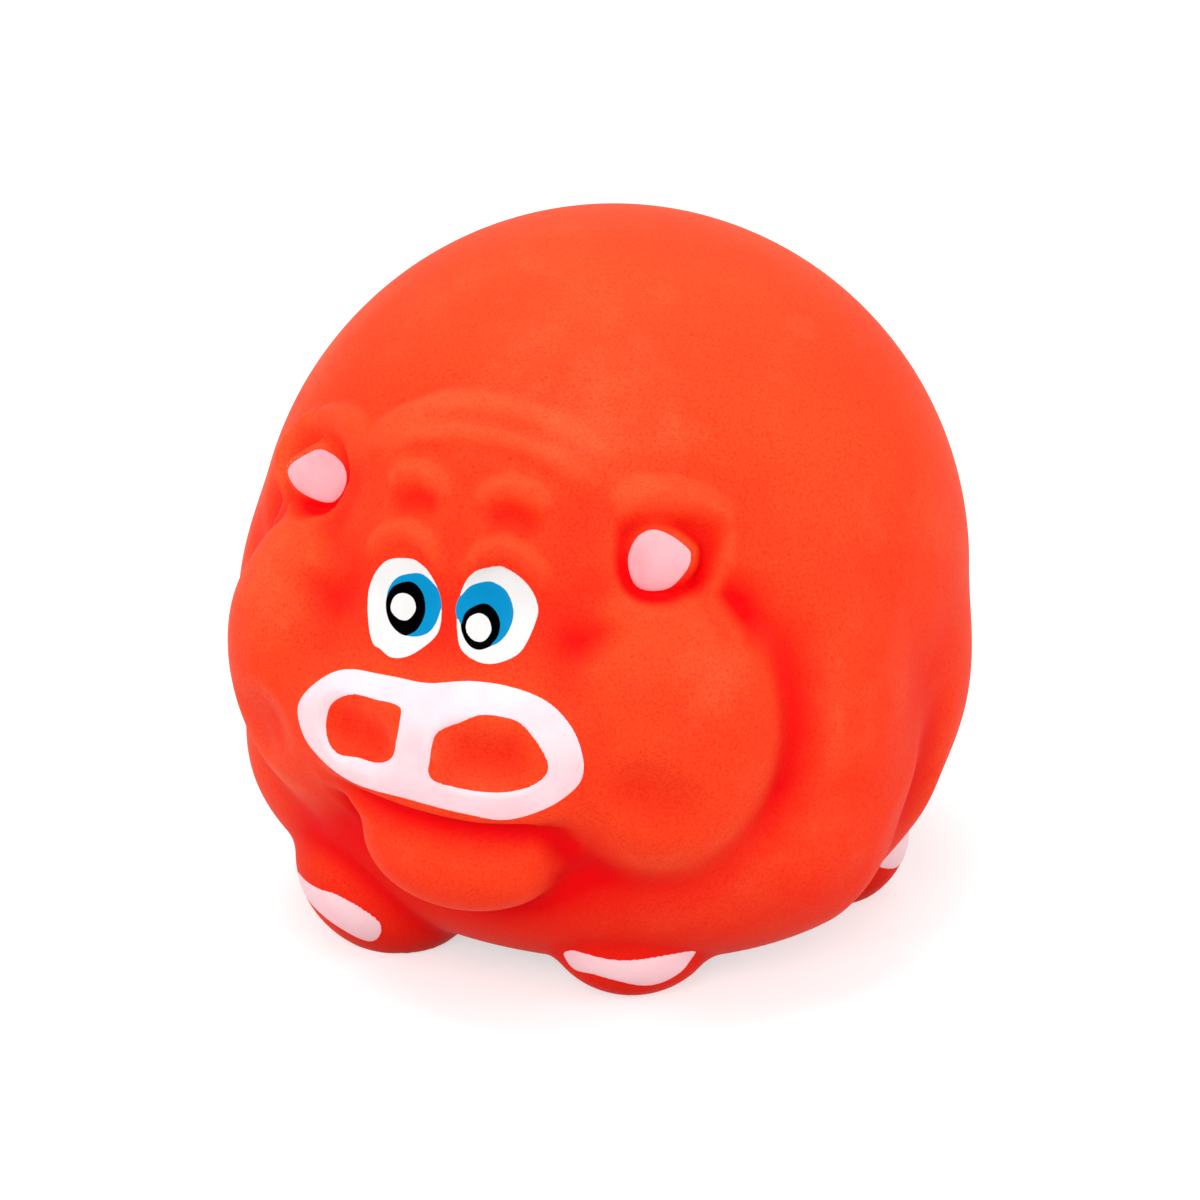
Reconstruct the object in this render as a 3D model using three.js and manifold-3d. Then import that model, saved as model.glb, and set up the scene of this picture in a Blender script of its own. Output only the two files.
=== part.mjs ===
// A round latex dog toy in the shape of a pig: a hollow moulded skin stuffed with loose fibre,
// brushed with four colours of paint, with a grunting squeaker plugged into its belly.
// Millimetres, +Z up. The pig looks along -Y, its left side is +X, and it stands on Z = 0.
import * as THREE from 'three';
import { mergeVertices } from 'three/addons/utils/BufferGeometryUtils.js';
import Module from 'manifold-3d';

// The body
const ballRadius = 44;
const ballHalfWidth = 43.5;
const footStandOff = 0.3;
const bellyFlatDepth = 2.2;
const bellyFlatSoftness = 1;

// The moulded skin and what fills it
const wallThickness = 2;
const fibreClearance = 0.3;
const collarWall = 3.7;
const collarHeight = 3.4;

// The facets, which are smaller on the face than on the back
const skinCells = 26;
const hollowCells = 10;
const faceGather = 0.56;
const gatherRise = 10;
const wallSearchAngle = 6;

// The paint
const firstCoatGap = 0.3;
const nextCoatGap = 0.2;
const coatThickness = 0.15;
const coatSearchAngle = 1;

// Painted places, each as its turn and rise on the ball and its width and height, all in degrees.
// The eyes were painted freehand: an oval of white, then the iris, the pupil and the glint.
const leftEye = {
  white: { turn: 8.4, rise: 11.5, width: 13.1, height: 14.2 },
  iris: { turn: 6.5, rise: 11.4, width: 9.4, height: 9.2 },
  pupil: { turn: 6.2, rise: 9.4, width: 6.2, height: 6.3 },
  glint: { turn: 6, rise: 9.1, width: 4.2, height: 4 },
};
const rightEye = {
  white: { turn: -7.9, rise: 10.3, width: 14.1, height: 14.3 },
  iris: { turn: -6.2, rise: 10.8, width: 9.6, height: 9.3 },
  pupil: { turn: -7.2, rise: 10.1, width: 7, height: 7.4 },
  glint: { turn: -7.6, rise: 10, width: 4.3, height: 3.9 },
};

// The snout's painted disc, with a bare nostril at each side
const snoutDisc = { turn: 0.5, rise: -7, width: 44.8, height: 17.4, squareness: 1.35 };
const leftNostril = { turn: 10.4, rise: -6.8, width: 15.6, height: 10 };
const rightNostril = { turn: -9, rise: -6.7, width: 13.6, height: 9.4 };

// The pads of the ears, and a band over each foot for its toes
const leftEarPad = { turn: 34.5, rise: 20.4, width: 9.4, height: 9, lean: 10 };
const rightEarPad = { turn: -36.7, rise: 24.2, width: 9.6, height: 8, lean: -10 };
const toeBands = {
  left_front_toe_paint: { turn: 30, rise: -49, width: 17.6, height: 4.2, bend: 0.8 },
  right_front_toe_paint: { turn: -34.5, rise: -45, width: 16, height: 5, bend: 0.6, lean: -22 },
  left_hind_toe_paint: { turn: 118, rise: -46.2, width: 14, height: 4.6, bend: 0.6 },
  right_hind_toe_paint: { turn: -118, rise: -46.2, width: 14, height: 4.6, bend: 0.6 },
};

// The squeaker plug, from its flange outside the belly to its open end inside
const plugClearance = 0.3;
const flangeOverlap = 2.7;
const flangeThickness = 1.2;
const flangeSeatGap = 0.3;
const barrelRadius = 8;
const barrelWall = 1.4;
const barbStandOut = 1;
const barbHeight = 2;
const lipOverlap = 2.2;
const lipThickness = 1;
const ledgeWidth = 1;
const ledgeHeight = 0.8;
const grilleThickness = 0.8;
const grilleRim = 1.8;
const grilleHoleRadius = 0.9;
const grilleHoleCount = 6;
const screenThickness = 0.4;
const plugSides = 40;
const smallSides = 28;

// The reed and the block that it beats on
const blockCollarHeight = 2;
const blockAboveReed = 0.4;
const airPassage = 1.3;
const airChannelDepth = 2.4;
const airChannelShortfall = 1;
const reedWidth = 4;
const reedOverlap = 0.8;
const reedThickness = 0.25;
const reedRootLength = 2.5;
const reedFreeLength = 6.4;
const reedGap = 0.3;
const reedOpening = 0.7;
const reedFootGap = 0.4;
const wedgeDepth = 3.4;

const wasm = await Module();
wasm.setup();

// A direction from the middle of the ball: turn goes round to the pig's left from the nose, and
// rise goes up from level, both in degrees.
function directionOf(turn, rise) {
  const t = THREE.MathUtils.degToRad(turn);
  const r = THREE.MathUtils.degToRad(rise);
  return new THREE.Vector3(Math.sin(t) * Math.cos(r), -Math.cos(t) * Math.cos(r), Math.sin(r));
}

// The three axes at that direction: across to the pig's left, up the skin, and straight out.
function axesAt(turn, rise, lean = 0) {
  const out = directionOf(turn, rise);
  const t = THREE.MathUtils.degToRad(turn);
  const across = new THREE.Vector3(Math.cos(t), Math.sin(t), 0);
  const up = new THREE.Vector3().crossVectors(across, out).negate();
  const angle = THREE.MathUtils.degToRad(lean);
  across.applyAxisAngle(out, angle);
  up.applyAxisAngle(out, angle);
  return { across, up, out };
}

// How far half of an angle at the middle of a unit ball reaches along the plane that touches it.
function halfTangent(angle) {
  return Math.tan(THREE.MathUtils.degToRad(angle / 2));
}

// The big swellings that make up the pig. Each is an egg whose crown stands out from the ball by
// standOut and blends over the given width. Where it is paired, it is given for the left side.
const swellings = [
  { part: 'base', turn: 0, rise: -90, standOut: 0.2, forward: 5, across: 43, tall: 34, deep: 27,
    boxy: 2.7, blend: 3 },
  { part: 'muzzle', turn: 0, rise: -12.5, standOut: 7.6, across: 24, tall: 17, deep: 17, blend: 4 },
  { part: 'snout', turn: 0, rise: -7.2, standOut: 6.8, across: 20.4, tall: 9, deep: 11, blend: 2 },
  { part: 'chin', turn: 1.6, rise: -27.8, standOut: 9.8, across: 14.4, tall: 9, deep: 14, boxy: 2.3,
    blend: 1.8 },
  { part: 'left cheek', turn: 36, rise: -10, standOut: 6.3, across: 14.6, tall: 18.6, deep: 12.5,
    boxy: 2.3, blend: 1.8 },
  { part: 'right cheek', turn: -35, rise: -10, standOut: 6.3, across: 13.8, tall: 18.2, deep: 12.5,
    boxy: 2.2, blend: 4 },
  { part: 'jowl', paired: true, turn: 67, rise: -21, standOut: 3.4, across: 15, tall: 24, deep: 20,
    blend: 4 },
  { part: 'shoulder', paired: true, turn: 62, rise: -33, standOut: 6.2, across: 17, tall: 15,
    deep: 17, blend: 2.5 },
  { part: 'right foreleg', turn: -52, rise: -35.5, standOut: 7.6, across: 12, tall: 16, deep: 14,
    blend: 3 },
  { part: 'haunch', paired: true, turn: 104, rise: -29.5, standOut: 3, across: 16, tall: 21,
    deep: 17, blend: 4 },
  { part: 'rump', turn: 180, rise: -8, standOut: 1.6, across: 30, tall: 30, deep: 30, blend: 6 },
  { part: 'left front foot', turn: 32, rise: -53.5, standOut: 9.8, across: 10.6, tall: 8, deep: 9.4,
    blend: 1.4 },
  { part: 'right front foot', turn: -41, rise: -50, standOut: 12.7, across: 12.4, tall: 12, deep: 11,
    blend: 1.4 },
  { part: 'hind foot', paired: true, turn: 121, rise: -53, standOut: 11.2, across: 9, tall: 10,
    deep: 10, blend: 1.4 },
];

// The finer relief. Each stroke runs through places on the skin, given as turn and rise, and
// raises it, or lowers it where its height is below 0, over a band that fades to both sides. It
// fades out towards its ends where fade is given, as a share of its length.
const strokes = [
  { part: 'outer forehead fold', height: 1.1, halfWidth: 3.1, fade: 0.2,
    path: [[-27, 30], [-22, 34.4], [-16, 38.8], [-8, 42], [0, 43], [8, 42.6], [19, 39.6], [29, 33.5]] },
  { part: 'inner forehead fold', height: 0.9, halfWidth: 2.7, fade: 0.2,
    path: [[-21, 30.5], [-12, 36.2], [-3.5, 38.1], [5.4, 38.1], [13.4, 36.7], [25, 30.3]] },
  { part: 'face below the folds', height: -0.7, halfWidth: 9, path: [[-14, 25], [0, 28], [14, 25]] },
  { part: 'nose bridge', height: -1.1, halfWidth: 8, path: [[0, 6], [0, 17]] },
  { part: 'mouth', height: -1.8, halfWidth: 3, fade: 0.2,
    path: [[-21, -17.5], [-14, -18.3], [0, -19.6], [8, -20.4], [16, -20.3], [22, -18]] },
  { part: 'tail', height: 2.2, halfWidth: 7.5, path: [[180, 13], [182, 20]] },
  { part: 'brow', paired: true, height: 1.6, halfWidth: 3, fade: 0.3,
    path: [[3, 26.6], [5, 29.4], [8.6, 31], [12.4, 30.2], [16, 27]] },
  { part: 'brow crease', paired: true, height: -0.8, halfWidth: 2.9, fade: 0.4,
    path: [[3.6, 25.4], [7.5, 26.8], [11.5, 26.4], [15.4, 24.6]] },
  { part: 'eyelid', paired: true, height: 0.9, halfWidth: 2.6, fade: 0.3,
    path: [[1.6, 15.5], [2.9, 18.2], [5, 20.4], [8.6, 21.7], [12.2, 21], [15.2, 18.6], [17, 15]] },
  { part: 'eye hollow', paired: true, height: -1, halfWidth: 8.5, path: [[7, 7], [9, 14]] },
  { part: 'temple', paired: true, height: -1.3, halfWidth: 7, path: [[21, 13], [23, 20], [24, 26]] },
  { part: 'left ear arch', height: 1.8, halfWidth: 2.9, fade: 0.3,
    path: [[28.5, 26.5], [31, 29.3], [35, 31.2], [39, 31.4], [43, 28.6]] },
  { part: 'left ear tip', height: 2.3, halfWidth: 3.5, fade: 0.3,
    path: [[39, 31.2], [43.3, 28.4], [45.9, 24], [46, 19], [45, 14.5]] },
  { part: 'right ear arch', height: 1.6, halfWidth: 3, fade: 0.3,
    path: [[-25, 33.4], [-29, 34.2], [-33, 34.2], [-38, 32.8], [-42, 31]] },
  { part: 'right ear tip', height: 1.8, halfWidth: 3.5, fade: 0.3,
    path: [[-40, 31.8], [-44.5, 29.6], [-47.4, 26], [-47.4, 21.5], [-45.6, 17]] },
  { part: 'ear side', paired: true, height: -2, halfWidth: 6.5, fade: 0.35,
    path: [[47.5, 19], [45, 12], [47.5, 5]] },
  { part: 'ear ridge', paired: true, height: 1.1, halfWidth: 2.8, fade: 0.2,
    path: [[46.4, 20], [44.8, 15.5], [43.8, 12], [45.2, 8.5], [48, 4]] },
  { part: 'side valley', paired: true, height: -1, halfWidth: 5.6, fade: 0.2,
    path: [[51.5, 24], [49.6, 17], [50, 11], [53, 5], [54.5, -2], [54, -9], [47, -23], [41, -30]] },
  { part: 'smile crease', paired: true, height: -0.8, halfWidth: 2.7, fade: 0.3,
    path: [[16.5, 9], [17.6, 7.7], [20, 6.8], [22.9, 7.4], [25.6, 9]] },
  { part: 'cheek crown', paired: true, height: 0.9, halfWidth: 3.4, fade: 0.3,
    path: [[19, 10.6], [25.2, 13], [30.5, 13.9], [35.7, 13.6], [40.2, 12], [44, 9]] },
  { part: 'cheek dimple', paired: true, height: -0.9, halfWidth: 5.5, path: [[31, -12], [34, -14]] },
  { part: 'chin side', paired: true, height: -1.4, halfWidth: 3, fade: 0.3,
    path: [[19, -19], [18.5, -24], [17.5, -30], [15, -34]] },
  { part: 'flank hollow', paired: true, height: -1.8, halfWidth: 9, path: [[86, -32], [88, -40]] },
  { part: 'haunch crease', paired: true, height: -1.5, halfWidth: 5.5, fade: 0.3,
    path: [[90, -10], [91, -28], [90, -45]] },
  { part: 'nostril dish', paired: true, height: -1.9, halfWidth: 4.8, path: [[7.4, -7.2], [12.4, -7.2]] },
];

// The ears' inner faces look nearly straight ahead, and cut into the ball. A seat is a flat face,
// square to the way that it faces, inside an oval whose soft edge is a share of its size. Its
// middle stands off the ball by standOff. The cups come first, and then the pads in them.
const seats = [
  { turn: 36, rise: 21.6, standOff: -3.2, faces: [15, 0], width: 20, height: 15, lean: 8, soft: 0.4 },
  { turn: -38, rise: 25.2, standOff: -3.2, faces: [-15, 0], width: 20, height: 15, lean: -8, soft: 0.4 },
  { ...leftEarPad, standOff: -1.2, faces: [5, 0], width: 11.4, height: 11, soft: 0.14 },
  { ...rightEarPad, standOff: -1.2, faces: [-5, 0], width: 11.6, height: 10, soft: 0.14 },
];

const ball = {
  axes: axesAt(0, 0),
  centre: new THREE.Vector3(0, 0, 0),
  across: ballHalfWidth,
  tall: ballRadius,
  deep: ballRadius,
  boxy: 2,
};
const eggs = swellings.map((swelling) => {
  const axes = axesAt(swelling.turn, swelling.rise);
  const centre = axes.out.clone().multiplyScalar(ballRadius + swelling.standOut - swelling.deep);
  centre.y -= swelling.forward ?? 0;
  return { boxy: 2, ...swelling, axes, centre, isFoot: swelling.part.endsWith('foot') };
});
const bellyHeight = bellyFlatDepth - ballRadius;
const floorHeight = -ballRadius - footStandOff;
const marchStart = 1.35 * ballRadius;
const marchStep = 0.75;
const halvings = 14;

// How far a point lies outside an egg, or inside it where the answer is below 0.
const offset = new THREE.Vector3();
function eggDistance(point, egg) {
  offset.subVectors(point, egg.centre);
  const girth = Math.hypot(offset.dot(egg.axes.across) / egg.across, offset.dot(egg.axes.up) / egg.tall);
  const depth = Math.abs(offset.dot(egg.axes.out) / egg.deep);
  const share = (girth ** egg.boxy + depth ** egg.boxy) ** (1 / egg.boxy);
  return share > 0 ? offset.length() * (1 - 1 / share) : -egg.deep;
}

function joined(a, b, width) {
  const near = Math.max(width - Math.abs(a - b), 0) / width;
  return Math.min(a, b) - near * near * width / 4;
}

// The whole pig without its fine relief. The belly is flattened before the feet are added.
const bodyEggs = eggs.filter((egg) => !egg.isFoot);
const footEggs = eggs.filter((egg) => egg.isFoot);
const folded = new THREE.Vector3();
function bodyDistance(point) {
  folded.set(Math.abs(point.x), point.y, point.z);
  const addEgg = (distance, egg) => (
    joined(distance, eggDistance(egg.paired ? folded : point, egg), egg.blend)
  );
  const body = bodyEggs.reduce(addEgg, eggDistance(point, ball));
  const flattened = -joined(-body, point.z - bellyHeight, bellyFlatSoftness);
  return footEggs.reduce(addEgg, flattened);
}

// Each stroke's path as points on the ball, with the share of its length that each is reached at
const drawnStrokes = strokes.flatMap((stroke) => (stroke.paired ? [1, -1] : [1]).map((sign) => {
  const places = stroke.path.map(([turn, rise]) => directionOf(sign * turn, rise).multiplyScalar(ballRadius));
  const reached = [0];
  for (let i = 1; i < places.length; i += 1) {
    reached.push(reached[i - 1] + places[i].distanceTo(places[i - 1]));
  }
  return { ...stroke, places, reached: reached.map((length) => length / reached[reached.length - 1]) };
}));
const nearest = new THREE.Vector3();
const span = new THREE.Line3();
function reliefAt(direction) {
  const place = direction.clone().multiplyScalar(ballRadius);
  let raise = 0;
  for (const { places, reached, height, halfWidth, fade } of drawnStrokes) {
    let gap = Infinity;
    let along = 0;
    for (let i = 1; i < places.length; i += 1) {
      span.set(places[i - 1], places[i]);
      const share = span.closestPointToPointParameter(place, true);
      const distance = span.at(share, nearest).distanceTo(place);
      along = distance < gap ? reached[i - 1] + share * (reached[i] - reached[i - 1]) : along;
      gap = Math.min(gap, distance);
    }
    const aside = Math.min(gap / halfWidth, 1);
    const end = fade ? Math.min(along / fade, (1 - along) / fade, 1) : 1;
    raise += height * (1 - aside * aside) ** 2 * end;
  }
  return raise;
}

// The radius of the skin once the seats are pressed into it, or stand in it.
const drawnSeats = seats.map((seat) => {
  const axes = axesAt(seat.turn, seat.rise, seat.lean);
  const faces = directionOf(...seat.faces);
  return { ...seat, axes, faces, reach: (ballRadius + seat.standOff) * axes.out.dot(faces) };
});
const seatNearness = 0.9;
function seatedRadius(direction, radius) {
  let seated = radius;
  for (const { axes, faces, reach, width, height, soft } of drawnSeats) {
    const ahead = direction.dot(axes.out);
    if (ahead > seatNearness) {
      const x = direction.dot(axes.across) / ahead / halfTangent(width);
      const y = direction.dot(axes.up) / ahead / halfTangent(height);
      const share = 1 - THREE.MathUtils.smoothstep(Math.hypot(x, y), 1 - soft, 1 + soft);
      seated += share * (reach / direction.dot(faces) - seated);
    }
  }
  return seated;
}

// The distance from the middle of the ball to the smooth skin.
function smoothRadius(direction) {
  const point = new THREE.Vector3();
  let high = marchStart;
  while (bodyDistance(point.copy(direction).multiplyScalar(high)) > 0) {
    high -= marchStep;
  }
  let low = high;
  high += marchStep;
  for (let i = 0; i < halvings; i += 1) {
    const middle = (low + high) / 2;
    const outside = bodyDistance(point.copy(direction).multiplyScalar(middle)) > 0;
    low = outside ? low : middle;
    high = outside ? middle : high;
  }
  return low;
}

function skinRadius(direction) {
  return seatedRadius(direction, smoothRadius(direction) + reliefAt(direction));
}

// A box's surface blown up to a ball of nearly even cells, then drawn towards the face.
const sideways = new THREE.Vector3(1, 0, 0);
function gatheredDirection(corner, gather) {
  const direction = new THREE.Vector3(
    Math.tan(corner.x * Math.PI / 4),
    Math.tan(corner.y * Math.PI / 4),
    Math.tan(corner.z * Math.PI / 4),
  ).normalize();
  const towardsFace = -direction.y;
  const grown = Math.sqrt(1 - gather * gather) / (1 + gather * towardsFace);
  direction.x *= grown;
  direction.z *= grown;
  direction.y = -(towardsFace + gather) / (1 + gather * towardsFace);
  return direction.normalize().applyAxisAngle(sideways, -THREE.MathUtils.degToRad(gatherRise));
}

function blownShell(cells, gather, radiusOf) {
  const box = new THREE.BoxGeometry(2, 2, 2, cells, cells, cells);
  box.deleteAttribute('normal');
  box.deleteAttribute('uv');
  const shell = mergeVertices(box);
  const places = shell.getAttribute('position');
  const corner = new THREE.Vector3();
  for (let i = 0; i < places.count; i += 1) {
    corner.fromBufferAttribute(places, i);
    const direction = gatheredDirection(corner, gather);
    const radius = radiusOf(direction);
    places.setXYZ(i, direction.x * radius, direction.y * radius, direction.z * radius);
  }
  splitCells(shell, radiusOf);
  return shell;
}

// Each four-sided cell is split along the diagonal whose middle lies nearer to the true surface.
function splitCells(shell, radiusOf) {
  const places = shell.getAttribute('position');
  const order = Array.from(shell.getIndex().array);
  const first = new THREE.Vector3();
  const second = new THREE.Vector3();
  const middleError = (i, j) => {
    first.fromBufferAttribute(places, i);
    second.fromBufferAttribute(places, j);
    const reach = first.add(second).length() / 2;
    return Math.abs(reach - radiusOf(first.normalize()));
  };
  for (let cell = 0; cell < order.length; cell += 6) {
    const [a, b, d, , c] = order.slice(cell, cell + 5);
    const split = middleError(a, c) < middleError(b, d) ? [a, b, c, a, c, d] : [a, b, d, b, c, d];
    order.splice(cell, 6, ...split);
  }
  shell.setIndex(order);
}

// Cutting and joining
function solidOf(geometry) {
  const bare = geometry.clone();
  bare.deleteAttribute('normal');
  bare.deleteAttribute('uv');
  const merged = mergeVertices(bare, 1e-5);
  return new wasm.Manifold(new wasm.Mesh({
    numProp: 3,
    vertProperties: new Float32Array(merged.getAttribute('position').array),
    triVerts: new Uint32Array(merged.getIndex().array),
  }));
}

function geometryOf(solid) {
  const mesh = solid.getMesh();
  const geometry = new THREE.BufferGeometry();
  geometry.setAttribute('position', new THREE.BufferAttribute(mesh.vertProperties, 3));
  geometry.setIndex(Array.from(mesh.triVerts));
  geometry.computeVertexNormals();
  return geometry;
}

function upright(radius, low, high, sides = plugSides) {
  const cylinder = new THREE.CylinderGeometry(radius, radius, high - low, sides);
  cylinder.rotateX(Math.PI / 2);
  cylinder.translate(0, 0, (low + high) / 2);
  return cylinder;
}

function slab(low, high) {
  const box = new THREE.BoxGeometry(high[0] - low[0], high[1] - low[1], high[2] - low[2]);
  box.translate((low[0] + high[0]) / 2, (low[1] + high[1]) / 2, (low[2] + high[2]) / 2);
  return box;
}

// Finishes
const latexRed = { color: 0xf4492e, roughness: 0.5, metalness: 0 };
const paintWhite = { color: 0xf2f2f0, roughness: 0.45, metalness: 0 };
const paintBlue = { color: 0x0292cb, roughness: 0.4, metalness: 0 };
const paintBlack = { color: 0x101012, roughness: 0.35, metalness: 0 };
const paintPink = { color: 0xfbcdd2, roughness: 0.5, metalness: 0 };
const paintEarPink = { color: 0xfda8ac, roughness: 0.5, metalness: 0 };
const fibreWhite = { color: 0xefeee8, roughness: 0.95, metalness: 0 };
const plasticWhite = { color: 0xe9e8e2, roughness: 0.4, metalness: 0 };
const plasticAmber = { color: 0xd8c9a0, roughness: 0.35, metalness: 0 };
const reedBrass = { color: 0xc9a24a, roughness: 0.3, metalness: 1 };
const screenGrey = { color: 0xb9bab8, roughness: 0.9, metalness: 0 };

const toy = new THREE.Group();
function addPiece(name, geometry, finish, parent = toy) {
  const piece = new THREE.Mesh(geometry, new THREE.MeshStandardMaterial(finish));
  piece.name = name;
  parent.add(piece);
  return piece;
}

// The skin: one moulding with a collared hole in the belly. The wall is at least wallThickness
// anywhere within wallSearchAngle, so that the inside doesn't follow creases, toes and ears.
const outside = blownShell(skinCells, faceGather, skinRadius);
function hollowRadius(direction) {
  return Math.min(...directionsAbout(direction, wallSearchAngle).map(skinRadius)) - wallThickness;
}

// A direction and six others round it, at the given angle from it.
function directionsAbout(direction, angle) {
  const side = new THREE.Vector3(direction.z, 0, -direction.x);
  if (side.lengthSq() < 1e-6) {
    side.set(1, 0, 0);
  }
  side.normalize().multiplyScalar(Math.tan(THREE.MathUtils.degToRad(angle)));
  const ring = [0, 60, 120, 180, 240, 300].map((step) => (
    side.clone().applyAxisAngle(direction, THREE.MathUtils.degToRad(step)).add(direction).normalize()
  ));
  return [direction, ...ring];
}

const plugHoleRadius = barrelRadius + plugClearance;
const collarRadius = plugHoleRadius + collarWall;
const collarTop = bellyHeight + collarHeight;
const below = 2 * floorHeight;
const hollow = solidOf(blownShell(hollowCells, 0, hollowRadius))
  .subtract(solidOf(upright(collarRadius, below, collarTop)));
const plugHole = solidOf(upright(plugHoleRadius, below, 0));
const underFloor = solidOf(slab([below, below, below], [-below, -below, floorHeight]));
const skin = solidOf(outside).subtract(hollow).subtract(plugHole).subtract(underFloor);
addPiece('latex_skin', geometryOf(skin), latexRed);

// The heights inside the plug, up from the underside of its flange
const ledgeBottom = grilleThickness + plugClearance;
const ledgeTop = ledgeBottom + ledgeHeight;
const blockBottom = ledgeTop + plugClearance;
const blockCollarTop = blockBottom + blockCollarHeight;
const reedBottom = blockCollarTop + reedFootGap;
const clampEdge = reedBottom + reedRootLength;
const reedTop = clampEdge + reedFreeLength;
const blockTop = reedTop + blockAboveReed;
const screenBottom = blockTop + plugClearance;
const screenTop = screenBottom + screenThickness;
const lipBottom = screenTop + plugClearance;
const barrelLength = lipBottom + lipThickness;

// The stuffing: loose fibre packed against the skin, with a pocket where the squeaker stands
const plugBottom = bellyHeight - flangeSeatGap - flangeThickness;
const barrelTop = plugBottom + barrelLength;
const barbRadius = barrelRadius + barbStandOut;
const fibre = solidOf(blownShell(hollowCells, 0, (direction) => hollowRadius(direction) - fibreClearance))
  .subtract(solidOf(upright(collarRadius + fibreClearance, below, collarTop + fibreClearance)))
  .subtract(solidOf(upright(barbRadius + fibreClearance, below, barrelTop + fibreClearance)));
addPiece('fibre_stuffing', geometryOf(fibre), fibreWhite);

// Paint. A coat rests on the highest facets of the skin near it, so that it cuts into none.
const skinMesh = new THREE.Mesh(outside, new THREE.MeshBasicMaterial({ side: THREE.DoubleSide }));
const caster = new THREE.Raycaster();
function facetRadius(direction) {
  caster.set(new THREE.Vector3(), direction);
  const hits = caster.intersectObject(skinMesh);
  return hits[hits.length - 1].distance;
}

function seatRadius(direction) {
  return Math.max(...directionsAbout(direction, coatSearchAngle).map(facetRadius));
}

function coatHeight(layer) {
  return firstCoatGap + layer * (coatThickness + nextCoatGap);
}

// A closed sheet from a list of rows of directions: the first row is one point, the rest rings.
function coatOver(rows, layer) {
  const spokes = rows[rows.length - 1].length;
  const directions = rows.flat();
  const seats = directions.map(seatRadius);
  const places = [];
  const faces = [];
  for (const lift of [coatHeight(layer), coatHeight(layer) + coatThickness]) {
    for (const [i, direction] of directions.entries()) {
      places.push(...direction.clone().multiplyScalar(seats[i] + lift).toArray());
    }
  }
  const sheet = directions.length;
  const at = (row, spoke) => (row === 0 ? 0 : 1 + (row - 1) * spokes + (spoke % spokes));
  for (let spoke = 0; spoke < spokes; spoke += 1) {
    faces.push(at(0, 0), at(1, spoke + 1), at(1, spoke));
    faces.push(sheet + at(0, 0), sheet + at(1, spoke), sheet + at(1, spoke + 1));
    for (let row = 1; row < rows.length - 1; row += 1) {
      const [a, b] = [at(row, spoke), at(row, spoke + 1)];
      const [c, d] = [at(row + 1, spoke), at(row + 1, spoke + 1)];
      faces.push(a, b, d, a, d, c);
      faces.push(sheet + a, sheet + d, sheet + b, sheet + a, sheet + c, sheet + d);
    }
    const [e, f] = [at(rows.length - 1, spoke), at(rows.length - 1, spoke + 1)];
    faces.push(e, f, sheet + f, e, sheet + f, sheet + e);
  }
  const geometry = new THREE.BufferGeometry();
  geometry.setAttribute('position', new THREE.Float32BufferAttribute(places, 3));
  geometry.setIndex(faces);
  geometry.computeVertexNormals();
  return geometry;
}

// Rows for a rounded patch about a place on the skin, its sizes in degrees. Its outline is an
// oval, or squarer where squareness is above 1, and bend lifts its two ends.
function patchRows({ turn, rise, lean = 0, width, height, squareness = 1, bend = 0, rings, spokes }) {
  const { across, up, out } = axesAt(turn, rise, lean);
  const rows = [[out]];
  for (let ring = 1; ring <= rings; ring += 1) {
    const row = [];
    for (let spoke = 0; spoke < spokes; spoke += 1) {
      const angle = 2 * Math.PI * spoke / spokes;
      const cos = Math.cos(angle);
      const sin = Math.sin(angle);
      const x = Math.sign(cos) * Math.abs(cos) ** (1 / squareness) * ring / rings;
      const y = Math.sign(sin) * Math.abs(sin) ** (1 / squareness) * ring / rings;
      const lifted = y * halfTangent(height) + x * x * halfTangent(2 * bend);
      const place = out.clone().addScaledVector(across, x * halfTangent(width));
      row.push(place.addScaledVector(up, lifted).normalize());
    }
    rows.push(row);
  }
  return rows;
}

const coats = [
  { layer: 'white', name: 'eye_white', finish: paintWhite, rings: 3, spokes: 20 },
  { layer: 'iris', name: 'iris', finish: paintBlue, rings: 2, spokes: 16 },
  { layer: 'pupil', name: 'pupil', finish: paintBlack, rings: 2, spokes: 14 },
  { layer: 'glint', name: 'glint', finish: paintWhite, rings: 1, spokes: 10 },
];
for (const [side, eye] of [['left', leftEye], ['right', rightEye]]) {
  for (const [level, { layer, name, finish, rings, spokes }] of coats.entries()) {
    addPiece(`${side}_${name}`, coatOver(patchRows({ ...eye[layer], rings, spokes }), level), finish);
  }
}

for (const [side, pad] of [['left', leftEarPad], ['right', rightEarPad]]) {
  addPiece(`${side}_ear_paint`, coatOver(patchRows({ ...pad, rings: 3, spokes: 16 }), 0), paintEarPink);
}

// The snout's paint is one coat with the two nostrils left bare.
function nostrilCut({ turn, rise, width, height }) {
  const { across, up, out } = axesAt(turn, rise);
  const reach = facetRadius(out);
  const cut = new THREE.CylinderGeometry(1, 1, ballRadius / 4, smallSides);
  cut.rotateX(Math.PI / 2);
  cut.scale(reach * halfTangent(width), reach * halfTangent(height), 1);
  cut.applyMatrix4(new THREE.Matrix4().makeBasis(across, up, out));
  const place = out.clone().multiplyScalar(reach);
  cut.translate(place.x, place.y, place.z);
  return solidOf(cut);
}
const snoutCoat = coatOver(patchRows({ ...snoutDisc, rings: 5, spokes: 36 }), 0);
const snoutPaint = solidOf(snoutCoat).subtract(nostrilCut(leftNostril)).subtract(nostrilCut(rightNostril));
addPiece('snout_paint', geometryOf(snoutPaint), paintPink);

for (const [name, band] of Object.entries(toeBands)) {
  addPiece(name, coatOver(patchRows({ ...band, squareness: 1.2, rings: 2, spokes: 20 }), 0), paintPink);
}

// The squeaker plug stands on its own axis, which is upright through the belly.
const plug = new THREE.Group();
plug.position.z = plugBottom;
toy.add(plug);

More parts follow.
